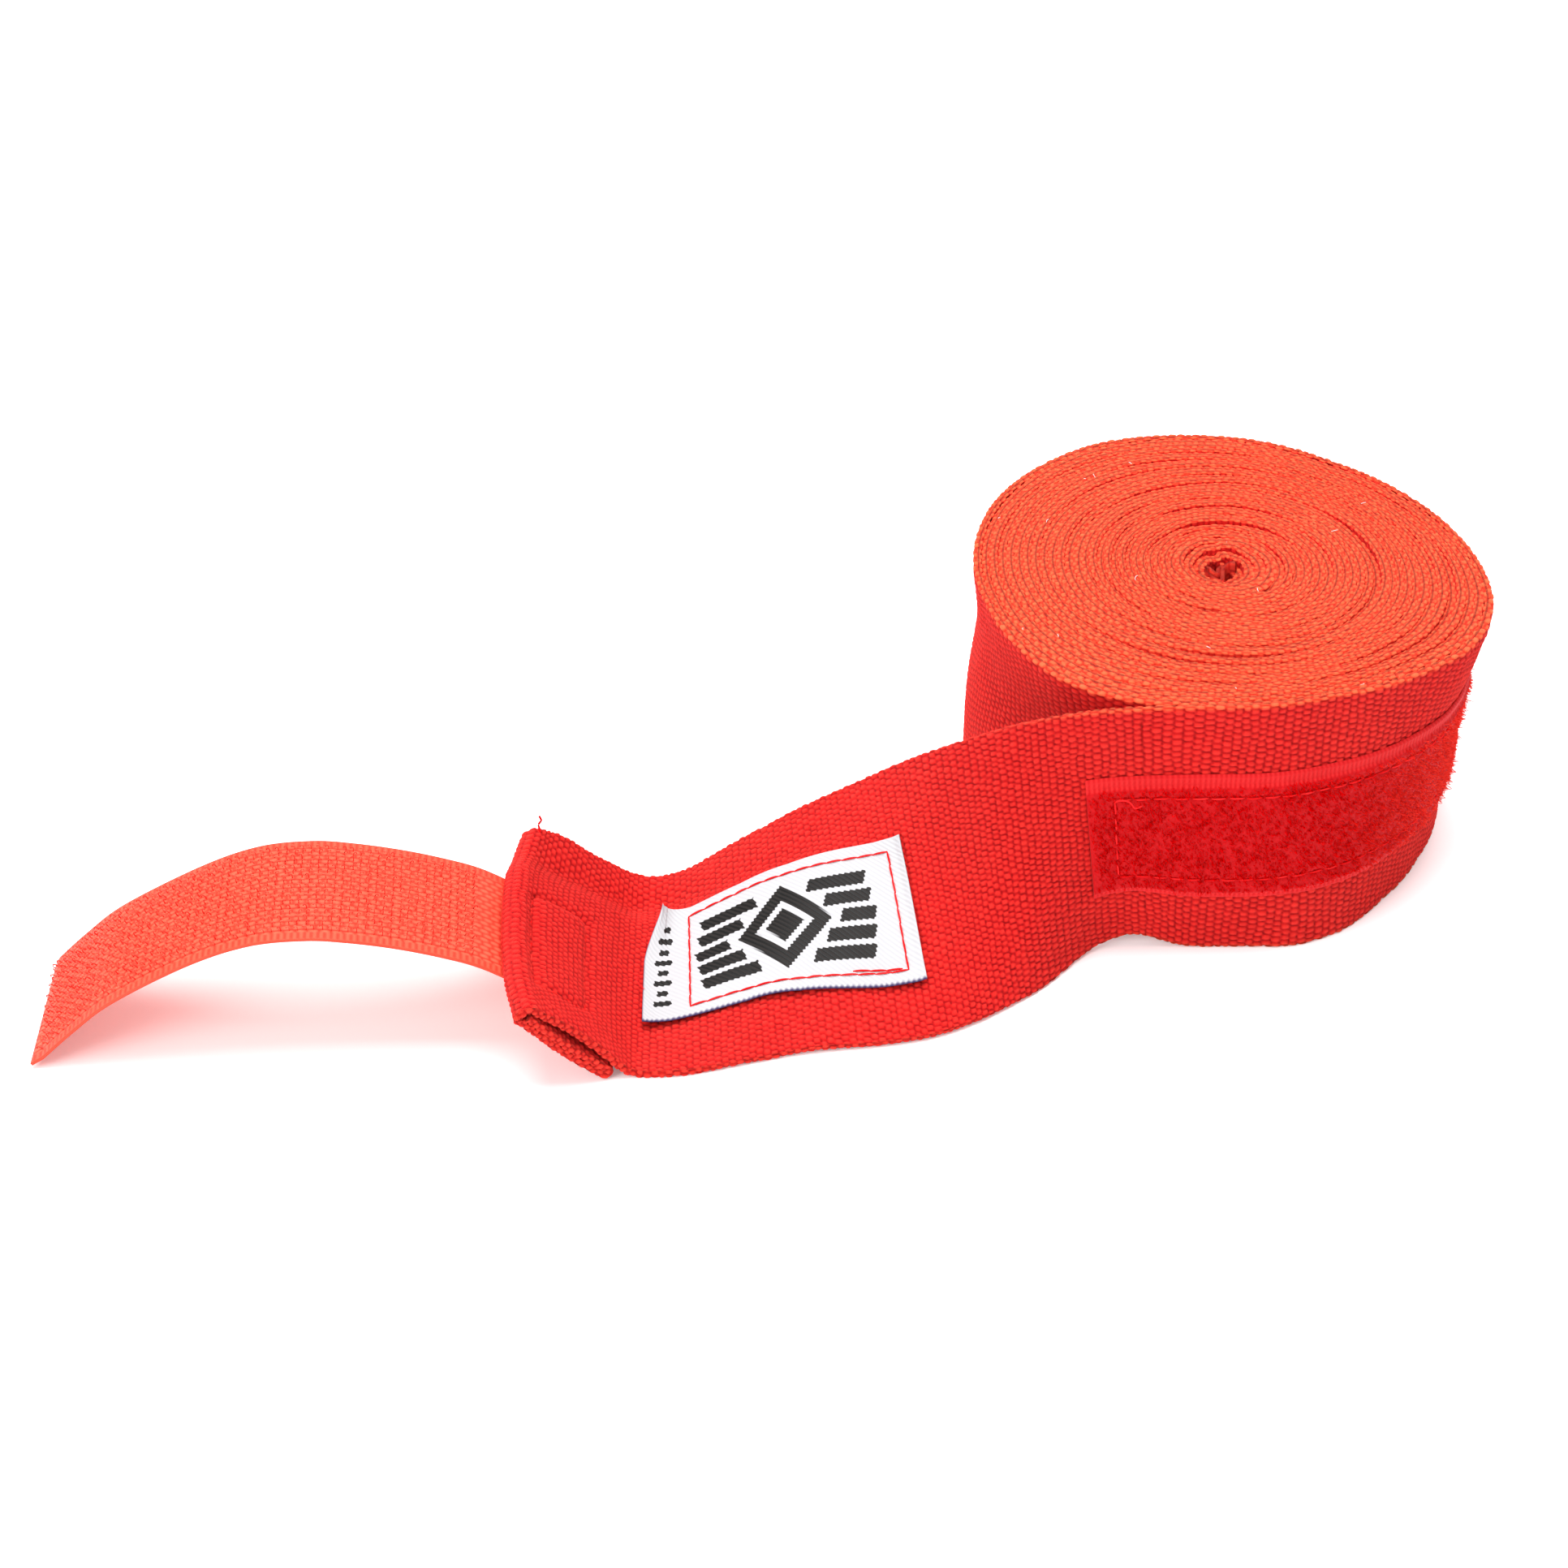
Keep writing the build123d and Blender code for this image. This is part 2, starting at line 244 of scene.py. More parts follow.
# ======================= cloth =======================
def weave(s, q, side):
    """Height of the woven cells, 0 in the gaps and 1 on the crowns; q is measured round the band.

    The free end is not stretched, so its cells are shorter than those on the roll."""
    s = s + SHORTER * SHORTER_OVER * np.logaddexp(0, (s - SHORTER_FROM) / SHORTER_OVER)
    s = s + 0.25 * ripple(s / 9.0, q / 7.0, 1.0) + 0.4 * side
    q = q + 0.34 * ripple(s / 13.0, q / 11.0, 2.0)
    near = np.full(s.shape, 9.0)
    second = near.copy()
    size = near.copy()
    for side_column in (-1, 0, 1):
        column = np.floor(s / CELL_LENGTH) + side_column
        stagger = 0.5 * (column % 2)
        base = np.floor(q / CELL_WIDTH + stagger - 0.5)
        for row in (base, base + 1):
            jolt = scatter(column, row)
            ds = s / CELL_LENGTH - column - 0.5 - 0.16 * (jolt - 0.5)
            dq = q / CELL_WIDTH + stagger - row - 0.5 - 0.22 * (scatter(row, column) - 0.5)
            d = np.hypot(1.12 * ds, dq)
            second = np.minimum(second, np.maximum(d, near))
            size = np.where(d < near, jolt, size)
            near = np.minimum(near, d)
    inside = np.clip((second - near) / 0.74, 0, 1)
    return (1 - (1 - inside) ** 1.9) * (0.82 + 0.18 * size)


RIM = 0.36  # how far the rounded edge reaches in from the edge of the cloth
RIM_POINTS = 7


def fine(low=RIM, step=STEP_W):
    high = WIDTH - RIM
    return np.linspace(low, high, max(2, int(round((high - low) / step)) + 1))


COARSE = np.array([RIM, 0.7, 1.1, 1.6, 2.4, 12, 25, 38, 47.6, 48.4, 48.9, 49.3, WIDTH - RIM])
HALF_FINE = np.concatenate([[RIM, 0.8, 1.3, 2.4, 12, 25], fine(33.0)])


def profile(front, back):
    """Closed outline of the band's section: place w, height n from -1 to 1, outward direction, girth q."""
    angle = np.linspace(-90, 90, RIM_POINTS + 2)[1:-1]
    ca, sa = np.cos(np.radians(angle)), np.sin(np.radians(angle))
    rim = -np.sign(sa) * np.abs(sa) ** 0.8
    if (len(front) + len(back)) % 2:
        back = np.insert(back, 1, back[:2].mean())
    back = back[::-1]
    w = np.concatenate([front, WIDTH - RIM + RIM * ca, back, RIM - RIM * ca])
    n = np.concatenate([0 * front + 1, rim, 0 * back - 1, -rim])
    dw = np.concatenate([0 * front, ca, 0 * back, -ca])
    dn = np.concatenate([0 * front + 1, -sa, 0 * back - 1, sa])
    q = np.concatenate([[0], np.cumsum(np.hypot(np.diff(w), np.diff(n) * CLOTH / 2))])
    side = (np.arange(len(w)) >= len(front) + RIM_POINTS // 2 + 1).astype(float)
    # the rims' painted light reaches onto the face near each edge
    on_face = bell(front - WIDTH, 0.5) + bell(front, 0.5)
    edge = np.concatenate([on_face, 0 * ca + 1, 0 * back, 0 * ca + 1])
    return {"w": w, "n": n, "dw": dw, "dn": dn, "q": q, "side": side, "edge": edge}


def cloth(name, surface, s, shape, material, relief=RELIEF, thickness=CLOTH, start=0.0, fineness=1.0):
    """A sheet of woven cloth over surface(s, w), in millimetres; its weave counts from start."""
    s2, w2 = np.broadcast_arrays(s[:, None], shape["w"][None, :])
    at, out, _, across = surface_frame(surface, s2, w2, 0.25)
    q = np.broadcast_to(shape["q"], s2.shape)
    side = np.broadcast_to(shape["side"], s2.shape)
    crown = weave((s2 + start) * fineness, q * fineness, side)
    push = relief * (crown - 0.75)
    thick = thickness(s2 + start, w2) if callable(thickness) else thickness
    rise = shape["n"] * thick / 2 + push * shape["dn"]
    points = at + out * rise[..., None] + across * (push * shape["dw"])[..., None]
    points[..., 2] = np.maximum(points[..., 2], 0.02)
    place = stack(s2 + start, q, 17.0 * side)
    # edge: where the rims' painted light goes; it fades out along the free end and the hem
    edge = shape["edge"] * (1 - 0.88 * smooth((s2 + start - 6) / 34))
    around = len(shape["w"])
    values = {"crown": crown, "place": place, "edge": edge}
    return make_mesh(name, points, ring_quads(len(s), around), material, around, **values)


def steps(low, high, step=STEP_S):
    return np.linspace(low, high, max(3, int(round((high - low) / step)) + 1))


# ======================= where the band goes =======================
half_lengths = [
    math.pi * (LINE_RADIUS - k * PITCH / 2 - (CORE_SHRINK if k >= GROOVE_TURN else 0))
    for k in range(HALF_TURNS)
]
turn_ends = np.concatenate([[0], np.cumsum(half_lengths)])


def wound(t, w):
    """The roll, t half turns in from where the band leaves it."""
    k = np.clip(np.floor(t), 0, HALF_TURNS)
    right = k % 2 == 0
    turn = -90 + 180 * np.maximum(t, 0)
    radius = LINE_RADIUS - k * PITCH / 2 - CORE_SHRINK * smooth((t - GROOVE_TURN + 0.5) / 1.0)
    depth = np.clip((radius - CORE_RADIUS) / (LINE_RADIUS - CORE_RADIUS), 0, 1)
    share = w / WIDTH
    top = outline(TOP_OUTLINE, turn) - RADIUS
    low = outline(BOTTOM_OUTLINE, turn) - RADIUS
    lean = top * smooth((share - 0.45) / 0.55) ** 1.3 + low * (1 - smooth(share / 0.5))
    waist = -1.5 * bell(turn_off(turn, 185), 45) - 1.0 * bell(turn_off(turn, -130), 30)
    lean = lean + waist * bell(share - 0.72, 0.2)
    lean = lean * depth**1.5 + 0.16 * ripple(turn / 190 + t * 0.13, share * 0.8 + t * 0.03, 3.0)
    inner = np.clip((12 - radius) / 10, 0, 1)
    lean = lean + inner * 0.30 * ripple(turn / 150, share * 1.5 + t * 0.1, 5.0)
    lean = lean - 1.25 * np.clip((8.5 - radius) / 4, 0, 1) * smooth((share - 0.5) / 0.5)
    shift = 2.3 * (1 - depth) * (0.45 + 0.55 * smooth(radius / CORE_RADIUS))
    a = np.radians(turn)
    x = np.cos(a) * (radius + lean) + shift
    y = np.sin(a) * (radius + lean) + np.where(right, 0, PITCH / 2) + 0.5 * inner
    y = np.maximum(y, -LINE_RADIUS + 0.61 * np.maximum(t, 0))
    # How far the upper edge stands up: uneven all over, with turns that dropped, most at the core's edge.
    rise = 0.30 * ripple(turn / 360 + t * 0.31, t * 0.19, 1.0) + 0.18 * ripple(turn / 70, t * 0.5, 4.0)
    rise = rise - 1.5 * bell(t - GROOVE_TURN - 0.9, 0.75) * (0.55 + 0.45 * np.cos(np.radians(turn - 60)))
    rise = rise - 0.8 * bell(t - GROOVE_TURN - 3.2, 0.5) * smooth(np.cos(np.radians(turn - 70)))
    rise = rise - 0.6 * bell(t - 39, 0.9) * (0.6 + 0.4 * np.cos(np.radians(turn + 50)))
    rise = rise - 0.4 * bell(t - 45, 0.7) - 0.45 * bell(t - 8.5, 0.9) * smooth(np.cos(np.radians(turn - 120)))
    rise = rise - 0.7 * inner - 2.4 * np.clip((7.0 - radius) / 3, 0, 1) ** 1.5
    rise = rise - 1.1 * bell(turn_off(turn, -45), 9) * bell(t - 50.8, 1.2)
    z = w + rise * smooth((share - 0.6) / 0.4)
    return stack(x, y, z)


def snug(s, w):
    """Thickness of the wound cloth: towards its edges it swells until the turns touch."""
    t = np.interp(-s, turn_ends, np.arange(HALF_TURNS + 1))
    inward = wound(np.minimum(t + 2, HALF_TURNS), w) - wound(t, w)
    outward = wound(np.maximum(t - 2, 0), w) - wound(t, w)
    inward = np.hypot(inward[..., 0], inward[..., 1])
    apart = np.maximum(inward, np.hypot(outward[..., 0], outward[..., 1]) * (t > 2))
    swell = smooth((np.abs(w - WIDTH / 2) - 20.5) / 3)
    swell = swell * smooth((10 - s) / 8)
    return CLOTH * (1 - swell) + swell * np.clip(1.09 * apart, 1.10, 2.5)


def plump(s, w):
    """Thickness of the free end and the hem: the front edge is fuller where the hem's mouth is."""
    front = 0.38 * bell(w, 3.2) * smooth((s - 88) / 14)
    return CLOTH * (1 + front + 0.15 * bell(w - WIDTH, 2.5) * smooth((s - 92) / 10))


LOW_EDGE = [
    (18.1, -40.1, 0), (3.8, -42.8, 0), (-8.9, -42.4, 0), (-21.2, -43.4, 0), (-33.3, -55.8, 0),
    (-49.6, -66.7, 0), (-72, -71, 0), (-89.9, -75.9, 0), (-100.4, -76.6, 0),
]
HIGH_EDGE = [
    (13.1, -40.5, 50), (-0.2, -42.5, 50), (-13.5, -42.5, 50), (-26.2, -43.6, 49.7), (-38.5, -36, 41),
    (-56.2, -22.6, 22.6), (-75.3, -22.8, 11.5), (-91, -25.8, 2.9), (-100.2, -26.6, 0.8),
]
FOLD_REACH = 3.5  # how far each side of the fold line the cloth takes to bend
HEM_LENGTH = 26.6
edge_steps = np.linspace(1.2, 8, 1400)
middle_line = (curve(LOW_EDGE, edge_steps) + curve(HIGH_EDGE, edge_steps)) / 2
run = np.concatenate([[0], np.cumsum(np.linalg.norm(np.diff(middle_line, axis=0), axis=1))])
run = run - np.interp(0, -middle_line[:200, 0], run[:200])
FOLD_S = run[-1]  # distance along the band of the line where the hem folds up


def free_end(s, w):
    """The free end as it lies, from its two edges; past the fold line it goes on flat."""
    a = np.interp(s, run, edge_steps)
    low, high = curve(LOW_EDGE, a), curve(HIGH_EDGE, a)
    share = (w / WIDTH)[..., None]
    at = low * (1 - share) + high * share
    inner = np.clip(w / WIDTH, 0, 1)
    sag = 1.6 * bell(a - 4.6, 1.1) * np.sin(math.pi * inner) ** 2
    lift = 2.6 * bell(s - 14.5, 8.0) * (1 - inner) ** 2.5
    puff = 1.6 * bell(s - 72, 17) * np.abs(np.sin(math.pi * inner)) ** 1.5
    valley = 1.2 * bell(w - 42.5, 3.4) * bell(s - 98, 13) + 0.5 * bell(w - 40, 3.0) * bell(s - 80, 12)
    ruck = 0.35 * ripple(s / 31, w / 38, 6.0) * smooth((s - 20) / 15)
    at = at + stack(0 * sag, sag, lift + puff - 0.4 * sag + np.abs(ruck) - valley)
    at[..., 2] += CLOTH / 2 * smooth((s - 30) / 25)
    return at


HEM_ANGLE = [(0, 40.5), (6, 43.0), (12, 44.0), (30, 43.5), (40, 41.0), (50, 39.5)]
HEM_STRETCH = [
    (0, 0.79), (6, 0.90), (12, 0.95), (20, 0.98), (30, 0.99), (40, 0.96), (45, 0.92), (50, 0.86),
]
HEM_SWING = [(0, 3.3), (15, 4.4), (35, 5.4), (50, 5.9)]  # how far the hem's end has swung to the front


def by_width(table, w):
    """A value that changes gently across the band, from a table of places and values."""
    at, values = np.array(table, float).T
    fine_at = np.linspace(0, WIDTH, 201)
    filled = np.interp(fine_at, at, values)
    padded = np.pad(filled, 15, mode="edge")
    return np.interp(w, fine_at, np.convolve(padded, np.ones(31) / 31, mode="valid"))


def hem_angle(w):
    """How steeply the hem stands, in radians."""
    return np.radians(by_width(HEM_ANGLE, w))


def hem_path(d, angle):
    """Run and rise past the start of the fold, where d is -FOLD_REACH."""
    bend = angle / (2 * FOLD_REACH)
    inside = np.clip(d + FOLD_REACH, 0, 2 * FOLD_REACH)
    beyond = np.maximum(d - FOLD_REACH, 0)
    run_out = np.sin(inside * bend) / bend + beyond * np.cos(angle)
    rise = (1 - np.cos(inside * bend)) / bend + beyond * np.sin(angle)
    return run_out, rise, inside * bend


def hem_run(up, w):
    """Run, rise, swing to the front and bend of the hem's top ply, up from the fold."""
    run_out, rise, bend = hem_path(up, hem_angle(w))
    stretch = 1 + (by_width(HEM_STRETCH, w) - 1) * smooth((up + FOLD_REACH) / 8)
    share = np.clip(up / HEM_LENGTH, 0, 1.05)
    swing = by_width(HEM_SWING, w) * share**1.3
    ear = 1.5 * bell(w - WIDTH, 4.5) * bell(up - 19, 6)
    ear = ear - 1.0 * bell(w - 42.5, 3.4) * smooth((up + 4) / 5) * smooth((24 - up) / 8)
    arch = 3.1 * bell(w, 8) * np.sin(2.25 * np.clip(share, 0, 1.05))
    return run_out * stretch, rise * stretch + ear + arch, swing, bend


def band(s, w):
    """The whole band: wound on the roll, straight off it, lying free, and up the hem."""
    s, w = np.broadcast_arrays(np.asarray(s, float), np.asarray(w, float))
    t = np.interp(-s, turn_ends, np.arange(HALF_TURNS + 1))
    on_roll = wound(t, w)
    straight = on_roll + stack(-np.maximum(s, 0), 0, 0)
    flat_s = np.minimum(s, FOLD_S - FOLD_REACH)
    free = free_end(flat_s, w)
    past = np.where(s > FOLD_S - FOLD_REACH, s - FOLD_S, -FOLD_REACH)
    run_out, rise, swing, _ = hem_run(past, w)
    free = free + stack(-run_out, -swing, rise)
    m = smooth((s - 1) / 17)[..., None]
    return straight * (1 - m) + free * m


def hem_ply(path):
    """Surface of the turned-under plies: path gives distance up the slope and depth below the top ply."""
    table = np.array(path, float)
    lengths = np.concatenate([[0], np.cumsum(np.hypot(*np.diff(table, axis=0).T))])

    def at(s, w):
        up = np.interp(s, lengths, table[:, 0])
        down = np.interp(s, lengths, table[:, 1])
        start = free_end(np.full_like(w, FOLD_S - FOLD_REACH), w)
        run_out, rise, swing, bend = hem_run(up, w)
        mouth = bell(w, 8.0) * np.clip(np.sin(math.pi * np.clip((up - 1) / 23, 0, 1)), 0, 1)
        under = smooth(-down / 1.2)
        sink = down - 1.0 * mouth * under
        x = start[..., 0] - run_out + np.sin(bend) * sink
        z = start[..., 2] + rise + np.cos(bend) * sink
        return stack(x, start[..., 1] - swing - 0.9 * mouth * under, np.maximum(z, CLOTH / 2))

    return at, lengths[-1]


# ======================= materials =======================
def new_material(name, **settings):
    material = bpy.data.materials.new(name)
    material.use_nodes = True
    shader = material.node_tree.nodes["Principled BSDF"]
    for socket, value in settings.items():
        shader.inputs[socket.replace("_", " ")].default_value = value
    return material, material.node_tree, shader


def node(tree, kind, inputs=None, **settings):
    made = tree.nodes.new(kind)
    for key, value in settings.items():
        setattr(made, key, value)
    for key, value in (inputs or {}).items():
        if isinstance(value, bpy.types.NodeSocket):
            tree.links.new(value, made.inputs[key])
        else:
            made.inputs[key].default_value = value
    return made


def attribute(tree, name):
    return node(tree, "ShaderNodeAttribute", attribute_name=name)


def noise(tree, place, scale, detail=2.0, rough=0.5):
    inputs = {"Vector": place, "Scale": scale, "Detail": detail, "Roughness": rough}
    return node(tree, "ShaderNodeTexNoise", inputs).outputs["Fac"]


def ramp(tree, value, stops):
    made = node(tree, "ShaderNodeValToRGB", {"Fac": value})
    elements = made.color_ramp.elements
    while len(elements) < len(stops):
        elements.new(0.5)
    for element, (position, colour) in zip(elements, stops):
        element.position = position
        element.color = (*colour, 1)
    return made.outputs["Color"]


def mix(tree, factor, a, b):
    made = node(tree, "ShaderNodeMix", data_type="RGBA")
    for index, value in ((0, factor), (6, a), (7, b)):
        if isinstance(value, bpy.types.NodeSocket):
            tree.links.new(value, made.inputs[index])
        else:
            made.inputs[index].default_value = value if index == 0 else (*value, 1)
    return made.outputs[2]


def math_node(tree, operation, a, b):
    return node(tree, "ShaderNodeMath", {0: a, 1: b}, operation=operation).outputs[0]


def bump(tree, shader, height, distance):
    made = node(tree, "ShaderNodeBump", {"Height": height, "Distance": distance * MM})
    tree.links.new(made.outputs["Normal"], shader.inputs["Normal"])


def roughen(tree, shader, grain, span, base):
    """Roughness that follows a grain, from base to base + span."""
    rough = math_node(tree, "MULTIPLY_ADD", grain, span)
    rough.node.inputs[2].default_value = base
    tree.links.new(rough, shader.inputs["Roughness"])


def cloth_material():
    """Spun cotton: painted shade that makes the gaps darker and redder and the crowns paler, patchy uneven
    colour, painted light on the rims, fluff, and yarn in the bump.
    """
    material, tree, shader = new_material(
        "cloth", Roughness=0.85, Sheen_Weight=0.09, Sheen_Roughness=0.5, Specular_IOR_Level=0.06
    )
    shader.inputs["Sheen Tint"].default_value = (1.0, 0.55, 0.45, 1)
    place = attribute(tree, "place").outputs["Vector"]
    crown = attribute(tree, "crown").outputs["Fac"]
    edge = attribute(tree, "edge").outputs["Fac"]
    # painted shade: the colour runs from dark red in the gaps between cells to pale red on their crowns, as if
    # the weave's hollows were shaded
    base_colour = ramp(
        tree, crown, [(0.0, (0.22, 0.000, 0.003)), (0.4, (0.60, 0.002, 0.006)), (0.92, (0.97, 0.026, 0.021))]
    )
    patch = noise(tree, place, 0.055, 3.0)
    pale = math_node(tree, "MULTIPLY", math_node(tree, "MULTIPLY", patch, crown), 0.5)
    base_colour = mix(tree, pale, base_colour, (0.98, 0.062, 0.045))
    # painted light: the rims are painted paler and orange for the light that falls on their tops and shines
    # through the cloth
    lit_rim_colour = ramp(
        tree, crown, [(0.0, (0.62, 0.012, 0.006)), (0.4, (0.90, 0.065, 0.026)), (0.9, (1.0, 0.165, 0.062))]
    )
    base_colour = mix(tree, edge, base_colour, lit_rim_colour)
    speck = noise(tree, place, 2.3, 2.0, 0.7)
    base_colour = mix(tree, math_node(tree, "MULTIPLY", speck, 0.25), base_colour, (0.70, 0.010, 0.010))
    tree.links.new(base_colour, shader.inputs["Base Color"])
    yarn = node(
        tree, "ShaderNodeTexWave", {"Vector": place, "Scale": 1.9, "Distortion": 5.0, "Detail": 2.0},
        bands_direction="DIAGONAL",
    ).outputs["Fac"]
    fuzz = noise(tree, place, 6.0, 3.0, 0.7)
    height = math_node(tree, "ADD", yarn, math_node(tree, "MULTIPLY", fuzz, 1.4))
    bump(tree, shader, height, 0.11)
    roughen(tree, shader, fuzz, 0.2, 0.72)
    return material


def tape_material(name, dark, pale, roughness, sheen, coat=0.0, through=0.0):
    """Woven polyamide tape: fine ribs from the mesh, warp and weft in the colour, a soft shine."""
    material, tree, shader = new_material(
        name, Sheen_Weight=sheen, Coat_Weight=coat, Coat_Roughness=0.35, Specular_IOR_Level=0.12
    )
    shader.inputs["Sheen Tint"].default_value = (1.0, 0.6, 0.55, 1)
    place = attribute(tree, "place").outputs["Vector"]
    crown = attribute(tree, "crown").outputs["Fac"]
    base_colour = ramp(tree, crown, [(0.0, dark), (0.8, pale)])
    patch = noise(tree, place, 0.09, 3.0)
    base_colour = mix(tree, math_node(tree, "MULTIPLY", patch, 0.4), base_colour, dark)
    tree.links.new(base_colour, shader.inputs["Base Color"])
    grain = noise(tree, place, 5.0, 3.0, 0.6)
    roughen(tree, shader, grain, 0.25, roughness - 0.12)
    bump(tree, shader, grain, 0.08)
    if through:
        glow = node(tree, "ShaderNodeBsdfTranslucent", {"Color": (*pale, 1)})
        both = node(tree, "ShaderNodeMixShader", {0: through, 1: shader.outputs[0], 2: glow.outputs[0]})
        tree.links.new(both.outputs[0], tree.nodes["Material Output"].inputs["Surface"])
    return material


def fibre_material(name, dark, pale, roughness=0.55):
    """Loose fibres: each differs a little from the next."""
    material, tree, shader = new_material(name, Specular_IOR_Level=0.0)
    tint = attribute(tree, "crown").outputs["Fac"]
    place = attribute(tree, "place").outputs["Vector"]
    patch = noise(tree, place, 0.35, 2.0)
    own, common = math_node(tree, "MULTIPLY", tint, 0.8), math_node(tree, "MULTIPLY", patch, 0.2)
    share = math_node(tree, "ADD", own, common)
    tree.links.new(ramp(tree, share, [(0.15, dark), (0.85, pale)]), shader.inputs["Base Color"])
    grain = noise(tree, place, 4.0, 2.0)
    roughen(tree, shader, grain, 0.2, roughness - 0.1)
    return material


def satin_material():
    """White satin with a diagonal twill, its woven figures in black, and a dark overlocked edge."""
    material, tree, shader = new_material("label_satin", Specular_IOR_Level=0.15)
    place = attribute(tree, "place").outputs["Vector"]
    figure = attribute(tree, "figure").outputs["Fac"]
    border = attribute(tree, "border").outputs["Fac"]
    twill = node(
        tree, "ShaderNodeTexWave", {"Vector": place, "Scale": 0.62, "Distortion": 0.35, "Detail": 1.0},
        bands_direction="DIAGONAL",
    ).outputs["Fac"]
    ragged = math_node(tree, "MULTIPLY", math_node(tree, "SUBTRACT", twill, 0.5), 0.22)
    inside = math_node(tree, "ADD", figure, ragged)
    ink = node(tree, "ShaderNodeMapRange", {0: inside, 1: -0.05, 2: 0.05}).outputs[0]
    half_twill = math_node(tree, "MULTIPLY", twill, 0.5)
    white = mix(tree, half_twill, (0.485, 0.487, 0.502), (0.405, 0.41, 0.432))
    black = mix(tree, twill, (0.004, 0.004, 0.004), (0.018, 0.015, 0.014))
    base_colour = mix(tree, ink, white, black)
    base_colour = mix(tree, border, base_colour, (0.055, 0.04, 0.12))
    tree.links.new(base_colour, shader.inputs["Base Color"])
    roughen(tree, shader, twill, 0.25, 0.38)
    bump(tree, shader, twill, 0.05)
    return material


CLOTH_MATERIAL = cloth_material()
LOOP_BACK = tape_material("loop_tape_back", (0.55, 0.001, 0.004), (0.84, 0.034, 0.034), 0.6, 0.05)
LOOP_PILE = fibre_material("loop_pile", (0.70, 0.000, 0.001), (1.0, 0.060, 0.042))
HOOK_BACK = tape_material("hook_tape_back", (0.66, 0.030, 0.014), (0.97, 0.175, 0.095), 0.42, 0.05, 0.06, 0.22)
HOOKS = fibre_material("hooks", (0.85, 0.05, 0.035), (0.96, 0.14, 0.09), 0.35)
SATIN = satin_material()
THREAD = fibre_material("thread", (0.70, 0.006, 0.008), (0.95, 0.05, 0.04), 0.5)
SEAM_THREAD = fibre_material("seam_thread", (0.74, 0.008, 0.010), (0.93, 0.028, 0.030), 0.45)
EDGE_THREAD = fibre_material("edge_thread", (0.04, 0.03, 0.09), (0.12, 0.10, 0.22), 0.6)
LINT = fibre_material("lint", (0.75, 0.72, 0.70), (0.95, 0.93, 0.92), 0.7)


def turn_start(t):
    return -np.interp(t, np.arange(HALF_TURNS + 1), turn_ends)


ROLL_CUT = 14.0  # the outermost turn's piece ends here, past where the band leaves the roll
TAIL_CUT = 60.0
HEM_CUT = 5.0  # distance up the hem where the free end's piece gives way to the hem's
inside_face = fine(step=1.2)
full = profile(fine(), inside_face)
both_faces = profile(fine(), fine())
rims = profile(COARSE, COARSE)
half_fine = profile(HALF_FINE, COARSE)

OUTER_MIDDLE, OUTER_END = 1.1, 2.35  # half turns at which the outermost turn is cut in two, and ends
for name, inner, outer in (
    ("band_outermost_turn", turn_start(OUTER_MIDDLE), ROLL_CUT),
    ("band_outermost_turn_back", turn_start(OUTER_END), turn_start(OUTER_MIDDLE)),
):
    outermost = cloth(name, band, steps(inner, outer), full, CLOTH_MATERIAL, thickness=snug)
    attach(outermost, "roll")

WOUND_STEP = 0.32
WOUND_RELIEF = 0.22
WOUND_FINENESS = 1.25  # the wound edges show smaller cells than the face


def wound_cloth(name, inner, outer, shape):
    """A stretch of the roll between two half turns, counted in from where the band leaves it."""
    low, high = turn_start(inner), turn_start(outer)
    piece = cloth(
        name, band, steps(low, high, WOUND_STEP), shape, CLOTH_MATERIAL, relief=WOUND_RELIEF,
        thickness=snug, fineness=WOUND_FINENESS,
    )
    return piece


MIDDLE_TURN = 11.0  # the wound turns are two pieces that meet here
for name, inner, outer in (
    ("band_turns", MIDDLE_TURN, OUTER_END),
    ("band_turns_further_in", GROOVE_TURN - 1, MIDDLE_TURN),
):
    middle = wound_cloth(name, inner, outer, rims)
    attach(middle, "roll")
    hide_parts("outer_turns")

joining = wound_cloth("band_joining_half_turn", GROOVE_TURN, GROOVE_TURN - 1, half_fine)
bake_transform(joining)

CORE_FACE = GROOVE_TURN + 2  # the core's outer turn shows when it slides out, so its face is finer
core_face = wound_cloth("band_core_face", CORE_FACE, GROOVE_TURN, half_fine)
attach(core_face, "core")

core = wound_cloth("band_core_turns", HALF_TURNS - 0.02, CORE_FACE, rims)
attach(core, "core")
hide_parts("inner_turns")

peeling = cloth("band_peeling_stretch", band, steps(ROLL_CUT, TAIL_CUT), both_faces, CLOTH_MATERIAL)
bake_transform(peeling)
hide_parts("strap_tail")

lying = cloth(
    "band_lying_stretch", band, steps(TAIL_CUT, FOLD_S + HEM_CUT), both_faces, CLOTH_MATERIAL,
    thickness=plump,
)
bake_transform(lying)

# ---- hem: up the slope, round the end, back under, and turned in again ----
END_AT, END_RADIUS = HEM_LENGTH - 1.95, 1.38  # where the top ply turns under, and how tightly
EDGE_AT, EDGE_DOWN, EDGE_RADIUS = 3.6, 2.10, 0.68  # where the lower ply turns in
around_end = [
    (END_AT + END_RADIUS * math.sin(a), -END_RADIUS + END_RADIUS * math.cos(a))
    for a in np.linspace(0, math.pi, 9)
]
around_edge = [
    (EDGE_AT - EDGE_RADIUS * math.sin(a), -EDGE_DOWN - EDGE_RADIUS * math.cos(a))
    for a in np.linspace(0, math.pi, 7)
]
hem_line = [(HEM_CUT, 0), *around_end, *around_edge, (HEM_LENGTH - 2.8, -1.42)]
hem_surface, hem_cloth_length = hem_ply(hem_line)


